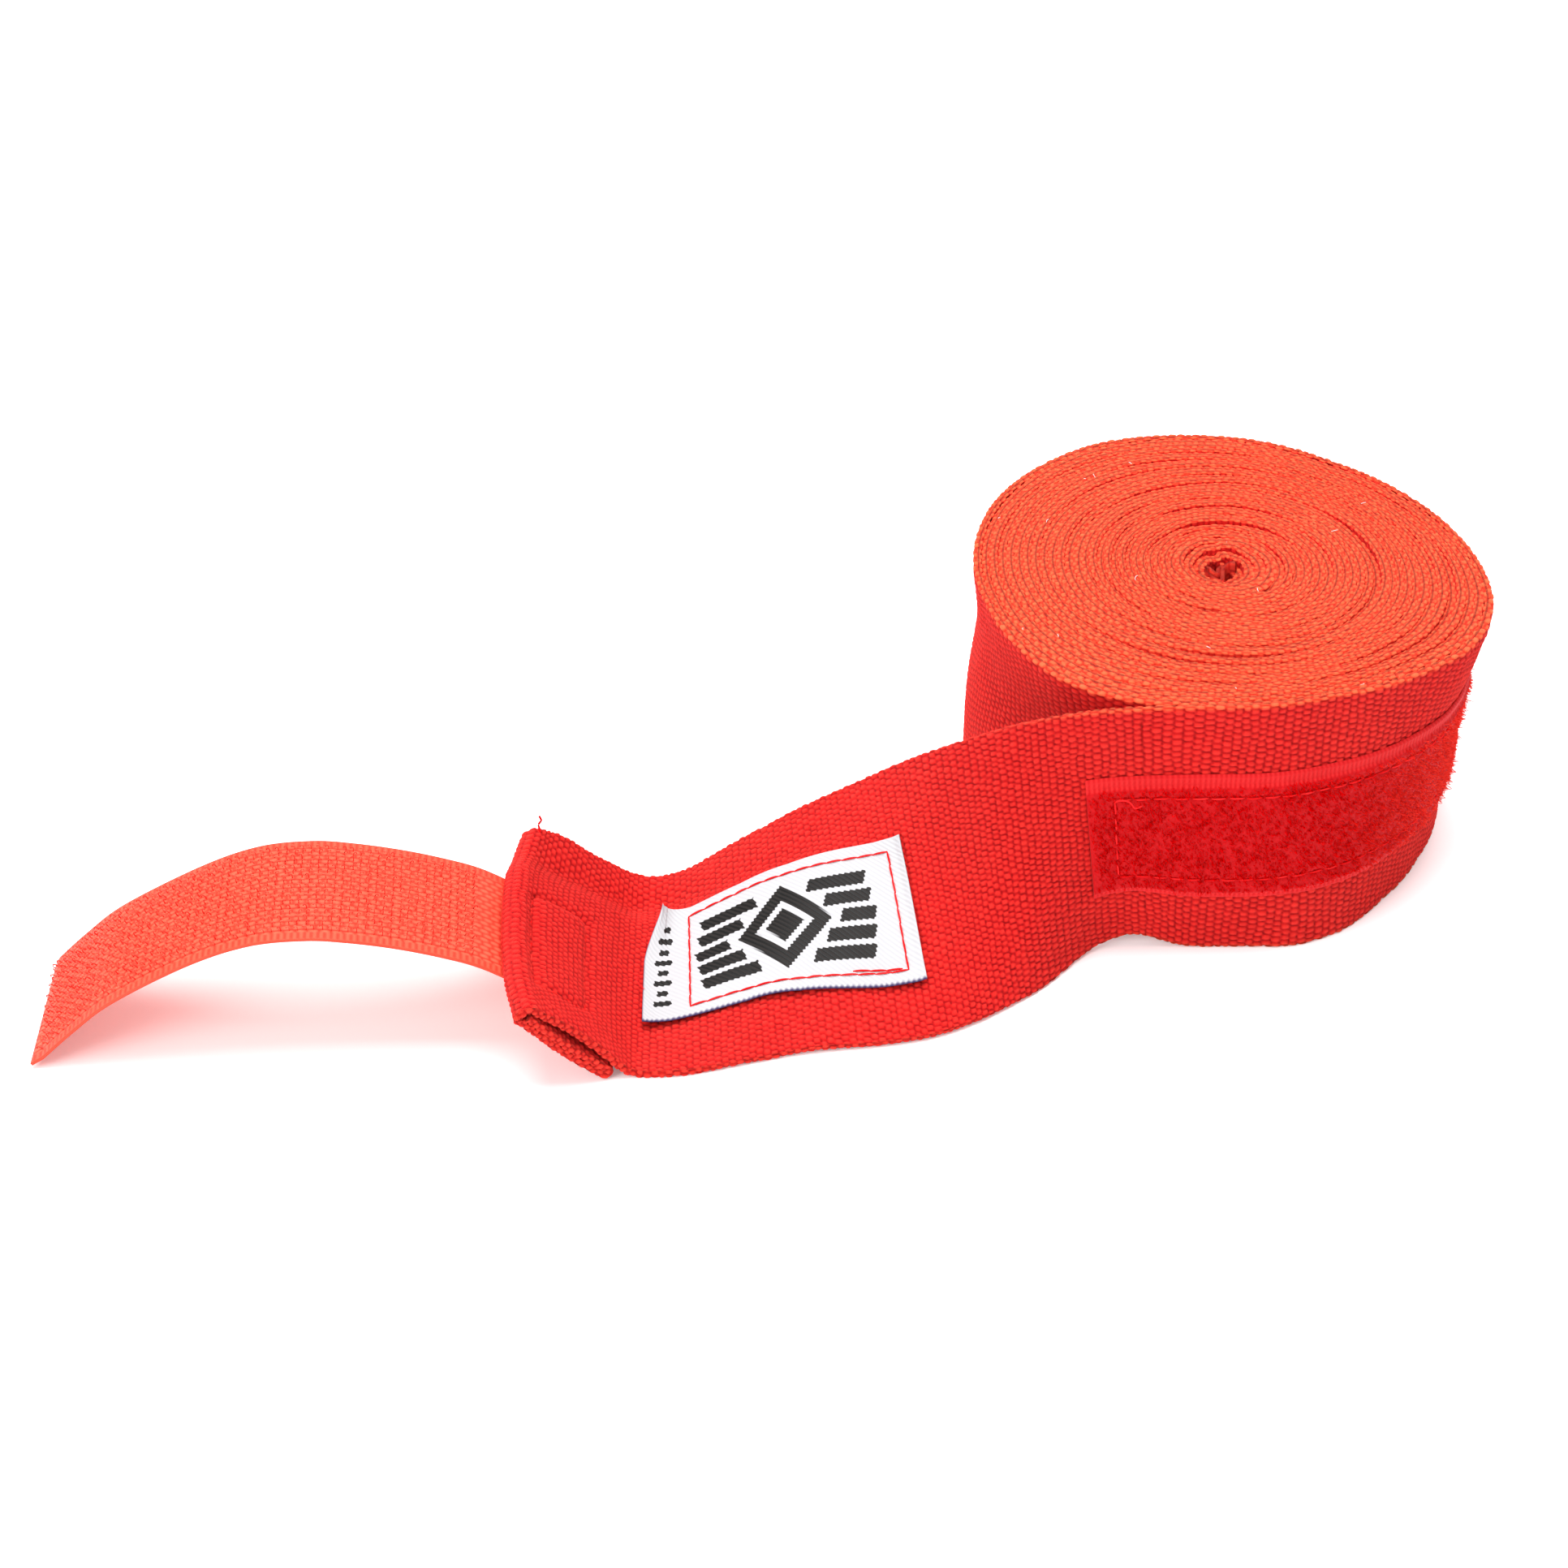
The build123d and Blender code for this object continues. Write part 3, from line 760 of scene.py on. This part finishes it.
HEM_SEAM_LOW, HEM_SEAM_HIGH = 10.0, 21.8  # the box seam's ends, up the hem
HEM_SEAM_HALF = TAPE_WIDTH / 2 - 1.2
HEM_MIDDLE = WIDTH / 2 + HINGE[1] - free_end(np.array(FOLD_S - 5.0), np.array(WIDTH / 2))[1]


def hem_quilting(s, w):
    """Depth that the box seam pulls the top ply in by, and the swell between its lines."""
    up = s + HEM_CUT
    half = HEM_SEAM_HALF
    across = w - HEM_MIDDLE
    inside = smooth((half + 1.2 - np.abs(across)) / 2.4)
    lines = 0.85 * (bell(up - HEM_SEAM_HIGH, 1.2) + 0.8 * bell(up - HEM_SEAM_LOW, 1.3)) * inside
    between = smooth((up - HEM_SEAM_LOW + 1.5) / 3) * smooth((HEM_SEAM_HIGH + 1.5 - up) / 3)
    lines = lines + (0.7 * bell(across - half, 1.2) + 0.4 * bell(across + half, 1.2)) * between
    swell = 0.55 * bell(up - (HEM_SEAM_HIGH + HEM_SEAM_LOW) / 2, 6) * inside * between
    roll_end = 0.45 * bell(up - HEM_LENGTH + 2.2, 1.8)
    return lines - swell - roll_end


def hem_at(s, w):
    at = hem_surface(s, w)
    pull = hem_quilting(s, w) * (s < 24)  # on the top ply only
    angle = hem_angle(w)
    return at - stack(np.sin(angle) * pull, 0, np.cos(angle) * pull)


hem = cloth(
    "hem_plies", hem_at, steps(0.0, hem_cloth_length), both_faces, CLOTH_MATERIAL, thickness=plump,
    start=FOLD_S + HEM_CUT,
)
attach(hem, "closure_end")
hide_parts("hem_top", "hem_turned_edge")


# ======================= loop tape =======================
LOOP_START = LOOP_LOW[0] - PEEL_X
LOOP_LENGTH = 125.0
LOOP_BACK_THICK = 0.6
LOOP_SEAM_SIDE, LOOP_SEAM_END = 4.2, 4.5  # how far in its seam runs from the sides and the ends


def loop_at(along, up, lift):
    """A place on the loop tape and the way out of it: along from its end, up from its lower edge."""
    at, out, _, _ = surface_frame(band, -(along + PEEL_X + LOOP_START), LOOP_LOW[2] + up)
    return at + out * (CLOTH / 2 + 0.12 + lift)[..., None], out


def loop_tape():
    count, wide = 620, 86
    along = np.linspace(0, LOOP_LENGTH, count)
    up = np.linspace(0, TAPE_WIDTH, wide)
    a2, u2 = np.broadcast_arrays(along[:, None], up[None, :])
    edge = np.minimum(u2, TAPE_WIDTH - u2)
    selvedge = 1 - smooth((np.where(u2 > 12, edge - 0.8, edge) - 1.1) / 0.5)
    ribs = np.sin(2 * math.pi * a2 / 0.8 + 0.4 * np.sin(a2 / 3))
    ribs = 0.5 + 0.5 * ribs * (0.7 + 0.3 * np.cos(math.pi * edge / 0.5))
    tufts = 0.5 + 0.5 * ripple(a2 / 1.1, u2 / 1.3, 2.0)
    height = selvedge * (LOOP_BACK_THICK - 0.18 + 0.16 * ribs)
    height = height + (1 - selvedge) * (LOOP_BACK_THICK + 0.25 + 0.35 * tufts)
    height = height * smooth(edge / 0.25 + 0.2)
    sunk = bell(a2 - LOOP_SEAM_END, 0.5) + bell(a2 - LOOP_LENGTH + LOOP_SEAM_END, 0.5)
    sunk = sunk * (edge > 3.8) + bell(edge - LOOP_SEAM_SIDE, 0.5) * (a2 > 4.2)
    height = height - 0.3 * np.clip(sunk, 0, 1) * (1 - selvedge)
    front, out = loop_at(a2, u2, height)
    back = front - out * (height + 0.05)[..., None]
    crown = np.where(selvedge > 0.5, 0.08 + 0.55 * ribs, 0.06 * tufts)
    return make_mesh(
        "loop_tape_back", both_sides(front, back), ring_quads(count, 2 * wide), LOOP_BACK,
        crown=both_sides(crown), place=both_sides(stack(a2, u2, 0)),
    )


def loop_pile():
    count = 11000
    along = rng.uniform(0.4, LOOP_LENGTH - 0.4, count)
    up = rng.uniform(1.7, TAPE_WIDTH - 2.3, count)
    heading = rng.uniform(0, 2 * math.pi, count)
    span = rng.uniform(0.35, 1.0, count)
    tall = rng.uniform(0.5, 1.25, count) * np.where(rng.random(count) < 0.07, 1.6, 1.0)
    sewn = np.abs(up - (TAPE_WIDTH - LOOP_SEAM_SIDE)) < 0.45
    sewn = sewn | (np.abs(up - LOOP_SEAM_SIDE) < 0.4) | (np.abs(along - LOOP_SEAM_END) < 0.4)
    tall = np.where(sewn & (along > 4.0), 0.35, tall)
    curl = rng.uniform(-0.5, 0.5, count)
    f = np.linspace(0, 1, 5)[None, :]
    reach = span[:, None] * (f - 0.5)
    sway = curl[:, None] * np.sin(math.pi * f)
    a2 = along[:, None] + reach * np.cos(heading)[:, None] - sway * np.sin(heading)[:, None]
    u2 = up[:, None] + reach * np.sin(heading)[:, None] + sway * np.cos(heading)[:, None]
    u2 = np.clip(u2, 1.6, TAPE_WIDTH - 2.0)
    lift = LOOP_BACK_THICK - 0.05 + tall[:, None] * np.sin(math.pi * np.clip(f * 1.05, 0, 1)) ** 0.8
    lift = lift + 0.08 * rng.standard_normal(lift.shape)
    at, _ = loop_at(np.clip(a2, 0.2, LOOP_LENGTH - 0.2), u2, lift)
    points, quads = tubes(at, 0.055)
    each = len(points) // count
    # painted light: the far end of the pile is painted paler, partly for its wear and partly for the light it
    # catches
    worn_lit_end = smooth((along - 36) / 38)  # the far end of the strip is worn and catches more light
    tint = np.repeat(rng.random(count) * (0.15 + 0.45 * worn_lit_end) + 0.62 * worn_lit_end, each)
    place = np.repeat(stack(along, up, 0), each, axis=0)
    return make_mesh("loop_tape_pile", points, quads, LOOP_PILE, crown=tint, place=place)


loop_back = loop_tape()
pile = loop_pile()
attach(loop_back, "roll")
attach(pile, "roll")
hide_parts("loop_strip")


# ======================= hook tape =======================
HOOK_HALF = 12.7
HOOK_ROW = 1.05
ARCH = [  # the free tape: run out from the hinge, and height
    (1.4, 17.8), (7.5, 20.3), (14.4, 22.4), (22, 24.0), (29, 24.8),
    (38, 24.1), (48, 20.5), (60.9, 13.3), (68, 7.4), (74.8, 0.75),
]
SEWN_ROOT = [(10.0, 4.0), (14.5, 3.9), (18.8, 3.6), (22.3, 3.0)]  # up the hem, and below its top ply
hem_slope = float(hem_angle(WIDTH / 2))


def hook_line():
    """The hook tape's middle line from its sewn root to its tip: run out from the hinge, and height."""
    root = []
    for up, depth in SEWN_ROOT:
        x = FOLD_X - up * math.cos(hem_slope) - depth * math.sin(hem_slope)
        root.append((HINGE[0] - x, 0.6 + up * math.sin(hem_slope) - depth * math.cos(hem_slope)))
    points = np.array(root + ARCH)
    dense = curve(points, np.linspace(0, len(points) - 1, 900))
    lengths = np.concatenate([[0], np.cumsum(np.hypot(*np.diff(dense, axis=0).T))])
    return dense, lengths


hook_points, hook_lengths = hook_line()
HOOK_TOTAL = hook_lengths[-1]
HOOK_ROOT = np.interp(0.0, hook_points[:, 0], hook_lengths)


def hook_at(s, v):
    """Place on the hook tape's middle surface: s along it, v across it from its centre."""
    out = np.interp(s, hook_lengths, hook_points[:, 0])
    z = np.interp(s, hook_lengths, hook_points[:, 1])
    far = np.clip((s - HOOK_ROOT) / (HOOK_TOTAL - HOOK_ROOT), 0, 1)
    swell = np.sin(math.pi * far)
    z = z + 0.35 * swell * (1 - (v / HOOK_HALF) ** 2) + 0.25 * ripple(s / 60, v / 60, 2.0) * swell
    cut = -0.7 * smooth((far - 0.97) / 0.03) * v / HOOK_HALF  # the tip is cut a little askew
    x = HINGE[0] - out * math.cos(HOOK_YAW) + v * math.sin(HOOK_YAW) + cut
    y = HINGE[1] - out * math.sin(HOOK_YAW) - v * math.cos(HOOK_YAW)
    return stack(x, y, z)


def hook_tape():
    count, wide = 380, 112
    s = np.linspace(0.3, HOOK_TOTAL - 0.3, count)
    v = np.linspace(-TAPE_WIDTH / 2, TAPE_WIDTH / 2, wide)
    s2, v2 = np.broadcast_arrays(s[:, None], v[None, :])
    edge = TAPE_WIDTH / 2 - np.abs(v2)
    selvedge = 1 - smooth((edge - 1.5) / 0.4)
    row = np.floor((v2 + HOOK_HALF) / HOOK_ROW)
    u = np.abs(2 * ((v2 + HOOK_HALF) / HOOK_ROW - row) - 1)
    dash_place = s2 / 1.9 + 0.5 * (row % 2) + 0.12 * np.sin(3.1 * row)
    dash = np.abs(2 * (dash_place - np.floor(dash_place)) - 1)
    zigzag = (1 - u**2) * (1 - dash**2.2)
    ribs = 0.4 + 0.3 * np.sin(2 * math.pi * s2 / HOOK_ROW) * smooth(edge / 0.5)
    crown = selvedge * ribs + (1 - selvedge) * zigzag
    height = 0.26 + 0.16 * crown * smooth(edge / 0.2 + 0.3)
    at, out, _, _ = surface_frame(hook_at, s2, v2)
    top = at + out * height[..., None]
    back = at - out * (0.20 + 0.06 * crown)[..., None]
    points = both_sides(top, back)
    points[..., 2] = np.maximum(points[..., 2], 0.05)
    return make_mesh(
        "hook_tape", points, ring_quads(count, 2 * wide), HOOK_BACK,
        crown=both_sides(crown), place=both_sides(stack(s2, v2, 0)),
    )


def hook_field():
    """Rows of moulded hooks on the underside, each a stem that bends over."""
    across_step = 1.3
    rows = np.arange(HOOK_ROOT + 3.0, HOOK_TOTAL - 2.0, 1.35)
    s, v = np.meshgrid(rows, np.arange(-10.4, 10.5, across_step), indexing="ij")
    s, v = s.ravel(), v.ravel()
    s = s + rng.uniform(-0.15, 0.15, len(s))
    v = v + rng.uniform(-0.12, 0.12, len(v))
    at, out, ahead, _ = surface_frame(hook_at, s, v)
    way = np.where(np.round(v / across_step) % 2 == 0, 1.0, -1.0)[:, None, None]
    stem = np.array([(0.0, 0.15), (0.0, 0.65), (0.08, 0.95), (0.28, 1.08), (0.46, 0.98), (0.5, 0.80)])
    paths = at[:, None] - out[:, None] * stem[None, :, 1:2] + ahead[:, None] * stem[None, :, 0:1] * way
    paths[..., 2] = np.maximum(paths[..., 2], 0.15)
    points, quads = tubes(paths, 0.11)
    each = len(points) // len(s)
    return make_mesh(
        "hook_field", points, quads, HOOKS, crown=np.repeat(rng.random(len(s)), each),
        place=np.repeat(stack(s, v, 0), each, axis=0),
    )


hook_piece = hook_tape()
hook_hooks = hook_field()
hook_end = hook_at(np.array(HOOK_ROOT + 7.5), np.array(0.0)) * MM
for piece in (hook_piece, hook_hooks):
    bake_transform(piece)
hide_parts("hook_strip", "hook_strip_root")


# ======================= label =======================
LABEL_NEAR, LABEL_FAR = np.interp([5.0, 7.79], edge_steps, run)
LABEL_LENGTH = LABEL_FAR - LABEL_NEAR
LABEL_WIDTH = 27.0
LABEL_LOW = 11.9
LABEL_THICK = 0.36
EMBLEM_AT = (25.2, 13.4)
BAR_SPACING = 3.5
SMALL_BAR_AT, SMALL_BAR_SPACING = (3.7, 4.6), 2.5


def label_at(p, q, lift=0.0):
    """A place on the label: p from its end nearer the hem, q up from its lower edge, lift off its middle."""
    s = LABEL_FAR - p
    w = LABEL_LOW + q - 1.2 * bell(p, 10) - 2.9 * smooth((p - 14) / 32)
    at, out, ahead, across = surface_frame(band, s, w)
    corner = np.clip(1 - np.hypot(p / 9.0, (LABEL_WIDTH - q) / 12.0), 0, 1) ** 1.4
    loose = smooth((5.5 - p) / 5.5) * 0.55 + 0.5 * bell(q, 2.6) * (0.55 + 0.45 * np.sin(p / 3.4 + 0.6))
    loose = loose + 0.35 * smooth((p - LABEL_LENGTH + 1.5) / 1.5)
    height = CLOTH / 2 + 0.32 + LABEL_THICK / 2 + loose + 3.6 * corner + lift
    curled = ahead * (2.6 * corner)[..., None] + across * (1.2 * corner)[..., None]
    return at + out * height[..., None] - curled


def bar_depth(x, y, cx, cy, hx, hy, slant=0.0):
    """How far inside a slanted bar a place is; negative outside."""
    return np.minimum(hx - np.abs(x - cx - slant * (y - cy)), hy - np.abs(y - cy))


def label_figure(x, y):
    """The woven figures: a ringed diamond between tapering bars, and a column of small bars at one end."""
    cx, cy = EMBLEM_AT
    diamond = 1 - (np.abs(x - cx) / 8.2 + np.abs(y - cy) / 8.8)
    ring = np.minimum(diamond * 5.0, (0.40 - diamond) * 5.0)
    inside = (diamond - 0.60) * 5.0
    figure = np.maximum(ring, inside)
    for side in (-1, 1):
        for row in range(-2, 3):
            near = 9.7 - 2.565 * abs(row)
            far = 15.6 - 0.5 * abs(row)
            middle_x = cx + side * (near + far) / 2
            bar = bar_depth(x, y, middle_x, cy + row * BAR_SPACING, (far - near) / 2, 1.25, 0.3 * side)
            figure = np.maximum(figure, bar)
    for k in range(8):
        long = 1.5 if k % 2 == 0 else 0.9
        small = bar_depth(x, y, SMALL_BAR_AT[0], SMALL_BAR_AT[1] + SMALL_BAR_SPACING * k, long, 0.62)
        figure = np.maximum(figure, small)
    return figure


def make_label():
    along, wide = 250, 150
    p = np.linspace(0, LABEL_LENGTH, along)
    q = np.linspace(0, LABEL_WIDTH, wide)
    p2, q2 = np.broadcast_arrays(p[:, None], q[None, :])
    edge = np.minimum(q2, LABEL_WIDTH - q2)
    round_off = np.sqrt(np.clip(1 - (1 - np.clip(edge / 0.18, 0, 1)) ** 2, 0.04, 1))
    twill = 0.5 + 0.5 * np.sin(2 * math.pi * (p2 + q2) / 0.85)
    front = label_at(p2, q2, LABEL_THICK / 2 * round_off + 0.025 * twill)
    back = label_at(p2, q2, -LABEL_THICK / 2 * round_off)
    place = stack(p2, q2, 0)
    figure = label_figure(p2, q2)
    loops = 0.38 + 0.16 * np.sin(2 * math.pi * p2 / 0.9)
    border = np.clip(1.4 - q2 / loops, 0, 1) + 0.8 * np.clip(1 - p2 / 0.25, 0, 1)
    return make_mesh(
        "label_ribbon", both_sides(front, back), ring_quads(along, 2 * wide), SATIN,
        place=both_sides(place, place + [0, 0, 9.0]),
        figure=both_sides(figure, np.full_like(figure, -2.0)),
        border=np.clip(both_sides(border, 1 - q2 / 0.5), 0, 1),
    )


label = make_label()
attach(label, "tail")
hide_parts("label")


# ======================= seams =======================
def seam(
    name, place_at, runs, material, body, replaced,
    pitch, stitch, radius=0.15, jitter=0.08, rise=0.2, dip=0.12,
):
    """Stitches along straight runs given as pairs of surface places; place_at(a, b, lift) gives points.

    A stitch every pitch is stitch long, stands up by rise in its middle and goes in by dip at its ends."""
    rows = []
    for (a0, b0), (a1, b1) in runs:
        length = math.hypot(a1 - a0, b1 - b0)
        count = max(1, int(length / pitch))
        middle = (np.arange(count) + 0.5) / count * length + rng.uniform(-jitter, jitter, count)
        f = np.linspace(-0.5, 0.5, 6)
        place = (middle[:, None] + stitch * f[None, :]) / length
        wander = rng.uniform(-jitter, jitter, (count, 1)) + 0.10 * f[None, :]
        a = a0 + (a1 - a0) * place - (b1 - b0) / length * wander
        b = b0 + (b1 - b0) * place + (a1 - a0) / length * wander
        lift = np.broadcast_to(rise * (1 - (2 * np.abs(f)) ** 3.0) - dip, a.shape)
        rows.append(place_at(a, b, lift))
    paths = np.concatenate(rows)
    points, quads = tubes(paths, radius * np.array([0.7, 1, 1.1, 1.1, 1, 0.7]), 6)
    tint = np.repeat(rng.random(len(paths)), len(points) // len(paths))
    piece = make_mesh(name, points, quads, material, crown=tint, place=points)
    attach(piece, body)
    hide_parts(replaced)


def box_run(a0, b0, a1, b1):
    return [((a0, b0), (a1, b0)), ((a1, b0), (a1, b1)), ((a1, b1), (a0, b1)), ((a0, b1), (a0, b0))]


def on_label(p, q, lift):
    return label_at(p, q, LABEL_THICK / 2 + lift)


stitch_left, stitch_right = 8.4, LABEL_LENGTH - 2.8
stitch_low, stitch_high = 2.3, LABEL_WIDTH - 2.6
label_runs = box_run(stitch_left, stitch_low, stitch_right, stitch_high)
label_runs.append(  # the overlap where the seam was finished
    ((stitch_right - 9.0, stitch_low + 0.7), (stitch_right - 1.0, stitch_low + 0.35))
)
seam(
    "label_seam", on_label, label_runs, SEAM_THREAD, "tail", "label_stitching",
    pitch=2.6, stitch=2.85, radius=0.16, jitter=0.03, dip=0.0,
)


def on_loop(a, b, lift):
    return loop_at(a, b, LOOP_BACK_THICK + 0.28 + 0.16 * (b > TAPE_WIDTH / 2) + lift)[0]


loop_runs = box_run(
    LOOP_SEAM_END, LOOP_SEAM_SIDE, LOOP_LENGTH - LOOP_SEAM_END, TAPE_WIDTH - LOOP_SEAM_SIDE
)
seam(
    "loop_tape_seam", on_loop, loop_runs, SEAM_THREAD, "roll", "loop_strip_stitching",
    pitch=2.9, stitch=2.4,
)


def on_hem(up, w, lift):
    s = up - HEM_CUT
    at = hem_at(s, w)
    angle = hem_angle(w)
    height = CLOTH / 2 - 0.12 + lift
    return at + stack(np.sin(angle) * height, 0, np.cos(angle) * height)


hem_runs = box_run(HEM_SEAM_LOW, HEM_MIDDLE - HEM_SEAM_HALF, HEM_SEAM_HIGH, HEM_MIDDLE + HEM_SEAM_HALF)
seam(
    "hem_seam", on_hem, hem_runs, THREAD, "closure_end", "hem_stitching",
    pitch=2.6, stitch=1.9, radius=0.17, jitter=0.12, rise=0.08,
)


# ======================= thumb loop in the middle of the roll =======================
THUMB_BOTTOM = 26.5
THUMB_WIDTH = 22.5
THUMB_ROUND = 13.6
THUMB_GAP = 0.4  # the ring stays open by this much
THUMB_THICK = 0.7


def thumb_at(s, w):
    """A crumpled ring of tape standing in the hole, s round it and w up it."""
    turn = 2 * math.pi * s / THUMB_ROUND
    high = smooth((w - 9) / 12)
    crumple = 1 + (0.22 * np.sin(3 * turn + 1.0) + 0.16 * np.sin(5 * turn + w / 3.1)) * high
    crumple = crumple + 0.06 * np.sin(2 * turn + w / 4.0)
    lean = math.radians(25)
    a = (2.35 + 0.35 * high) * np.cos(turn)
    b = (1.25 - 0.58 * high) * np.sin(turn) * crumple + 1.25 * high * np.sin(1.25 * a)
    x = 0.7 + a * math.cos(lean) - b * math.sin(lean) + 0.35 * high * np.sin(w / 2.6)
    y = 0.6 + a * math.sin(lean) + b * math.cos(lean)
    z = THUMB_BOTTOM + w + 0.9 * high * np.sin(2 * turn + 2.2)
    return stack(x, y, z)


def thumb_profile():
    """Section of the thumb loop's tape: a thin strip with square edges."""
    up = np.concatenate([[0.3, 0.9], np.arange(2.0, THUMB_WIDTH - 0.8, 0.45), [THUMB_WIDTH - 0.3]])
    count = len(up)
    n = np.concatenate([np.ones(count), -np.ones(count)])
    w = np.concatenate([up, up[::-1]])
    q = np.concatenate([up, up[::-1] + 1.0])
    zero = np.zeros(2 * count)
    # the whole thumb loop takes a share of the rims' painted light colour
    return {"w": w, "n": n, "dw": zero, "dn": n, "q": q, "side": (n < 0) * 1.0, "edge": zero + 0.3}


thumb = cloth(
    "thumb_loop_tape", thumb_at, steps(0, THUMB_ROUND - THUMB_GAP, 0.3), thumb_profile(), CLOTH_MATERIAL,
    relief=0.2, thickness=THUMB_THICK,
)
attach(thumb, "core")
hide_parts("thumb_loop")


def on_thumb(s, w, lift):
    at, out, _, _ = surface_frame(thumb_at, s, w, 0.2)
    return at + out * (THUMB_THICK / 2 + lift)[..., None]


tack_runs = [((3.0, 3.0), (3.0, 19.0)), ((4.2, 3.0), (4.2, 19.0))]
seam(
    "thumb_loop_tack", on_thumb, tack_runs, THREAD, "core", "thumb_loop_stitching",
    pitch=2.4, stitch=1.9, radius=0.14,
)


# ======================= loose threads, lint and fluff =======================
def loose_thread(name, line, body, material, radius):
    path = curve(line, np.linspace(0, len(line) - 1, 16))
    points, quads = tubes(path[None], radius, 5)
    piece = make_mesh(name, points, quads, material, crown=np.repeat(rng.random(1), len(points)), place=points)
    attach(piece, body)


def places_on(place_at, places):
    return [place_at(*(np.array(v) for v in place)) for place in places]


corner = on_hem(np.array(24.4), np.array(49.0), np.array(0.0))
steps_away = [(0, -1, -1), (0, 0, 0.3), (-0.2, 0.4, 1.1), (0.3, 0.6, 1.9), (0.0, 0.7, 2.7)]
corner_thread = [corner + v for v in np.array(steps_away)]
loose_thread("hem_loose_thread", corner_thread, "closure_end", THREAD, 0.2)
tail_places = [(4.4, 21.0, 0.2), (5.3, 22.0, 0.9), (6.6, 21.6, 1.2), (7.4, 20.4, 1.3), (8.6, 20.6, 1.0)]
loose_thread("loop_tape_loose_thread", places_on(on_loop, tail_places), "roll", SEAM_THREAD, 0.13)
raw_places = [(0.2, 8.0, 0.2), (-1.0, 8.6, 0.5), (-1.6, 9.8, 0.3), (-1.2, 11.0, 0.1)]
loose_thread("label_loose_thread", places_on(on_label, raw_places), "tail", SEAM_THREAD, 0.07)


def hairs(name, low, high, count, length, radius, material, body, w_range=(49.4, 50.0)):
    """Short fibres standing on the roll's upper face between two half turns."""
    share = rng.random(count)
    s = -np.interp(low + (high - low) * share**0.9, np.arange(HALF_TURNS + 1), turn_ends)
    w = rng.uniform(*w_range, count)
    at = band(s, w) + stack(rng.uniform(-0.5, 0.5, count), rng.uniform(-0.5, 0.5, count), 0.15)
    heading = rng.uniform(0, 2 * math.pi, count)
    long = length * rng.uniform(0.4, 1.3, count)
    f = np.linspace(0, 1, 4)[None, :]
    bend = rng.uniform(-0.8, 0.8, (count, 1))
    x = long[:, None] * f * np.cos(heading[:, None] + bend * f)
    y = long[:, None] * f * np.sin(heading[:, None] + bend * f)
    z = long[:, None] * (0.55 * f - 0.35 * f**2) * rng.uniform(0.2, 1.4, (count, 1))
    paths = at[:, None] + np.stack([x, y, z], -1)
    points, quads = tubes(paths, radius)
    tint = np.repeat(rng.random(count), len(points) // count)
    piece = make_mesh(name, points, quads, material, crown=tint, place=points)
    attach(piece, body)
    return piece


hairs("lint_on_turns", 0.5, 24, 15, 1.1, 0.05, LINT, "roll")
hairs("lint_on_core", 25, 55, 7, 1.0, 0.05, LINT, "core")
hairs("fluff_on_turns", 0.3, 24, 3600, 0.75, 0.022, THREAD, "roll", (49.0, 50.1))
hairs("fluff_on_core", 25, 58.5, 2200, 0.75, 0.022, THREAD, "core", (49.0, 50.1))


# ======================= floor, light and camera =======================
FLOOR_GLOW = 0.16
WORLD_STRENGTH = 0.62
LENS, PITCH_DOWN = 74.534, 36.7  # millimetres on a 36 mm sensor, and degrees below level
CAMERA_AT = (-0.0745, -0.4716, 0.3543)

floor_material, tree, shader = new_material("floor", Roughness=0.9, Specular_IOR_Level=0.1)
shader.inputs["Base Color"].default_value = (0.93, 0.93, 0.93, 1)
shader.inputs["Emission Color"].default_value = (1, 1, 1, 1)
shader.inputs["Emission Strength"].default_value = FLOOR_GLOW
FLOOR_HALF = 2500.0
floor_corners = [(x * FLOOR_HALF, y * FLOOR_HALF, 0) for x, y in ((-1, -1), (1, -1), (1, 1), (-1, 1))]
floor = make_mesh("floor", floor_corners, [(0, 1, 2, 3)], floor_material)

world = bpy.data.worlds.new("studio")
bpy.context.scene.world = world
world.use_nodes = True
world.node_tree.nodes["Background"].inputs["Color"].default_value = (1, 1, 1, 1)
world.node_tree.nodes["Background"].inputs["Strength"].default_value = WORLD_STRENGTH


def area_light(name, place, aim, size, power):
    data = bpy.data.lights.new(name, "AREA")
    data.shape = "RECTANGLE"
    data.size, data.size_y = size
    data.energy = power
    light = bpy.data.objects.new(name, data)
    bpy.context.scene.collection.objects.link(light)
    way = np.array(aim, float) - np.array(place, float)
    light.location = place
    light.rotation_euler = (math.atan2(math.hypot(way[0], way[1]), -way[2]), 0, math.atan2(-way[0], way[1]))


area_light("overhead", (-0.05, 0.15, 1.0), (-0.05, 0.0, 0.02), (0.9, 0.8), 16.0)
area_light("left_front", (-0.7, -0.6, 0.6), (-0.05, -0.03, 0.02), (0.5, 0.5), 5.5)

camera_data = bpy.data.cameras.new("camera")
camera_data.sensor_width = 36
camera_data.lens = LENS
camera_data.clip_start = 0.01
camera = bpy.data.objects.new("camera", camera_data)
camera.location = CAMERA_AT
camera.rotation_euler = (math.radians(90 - PITCH_DOWN), 0, 0)
bpy.context.scene.collection.objects.link(camera)
bpy.context.scene.camera = camera
bpy.context.scene.view_settings.view_transform = "Standard"
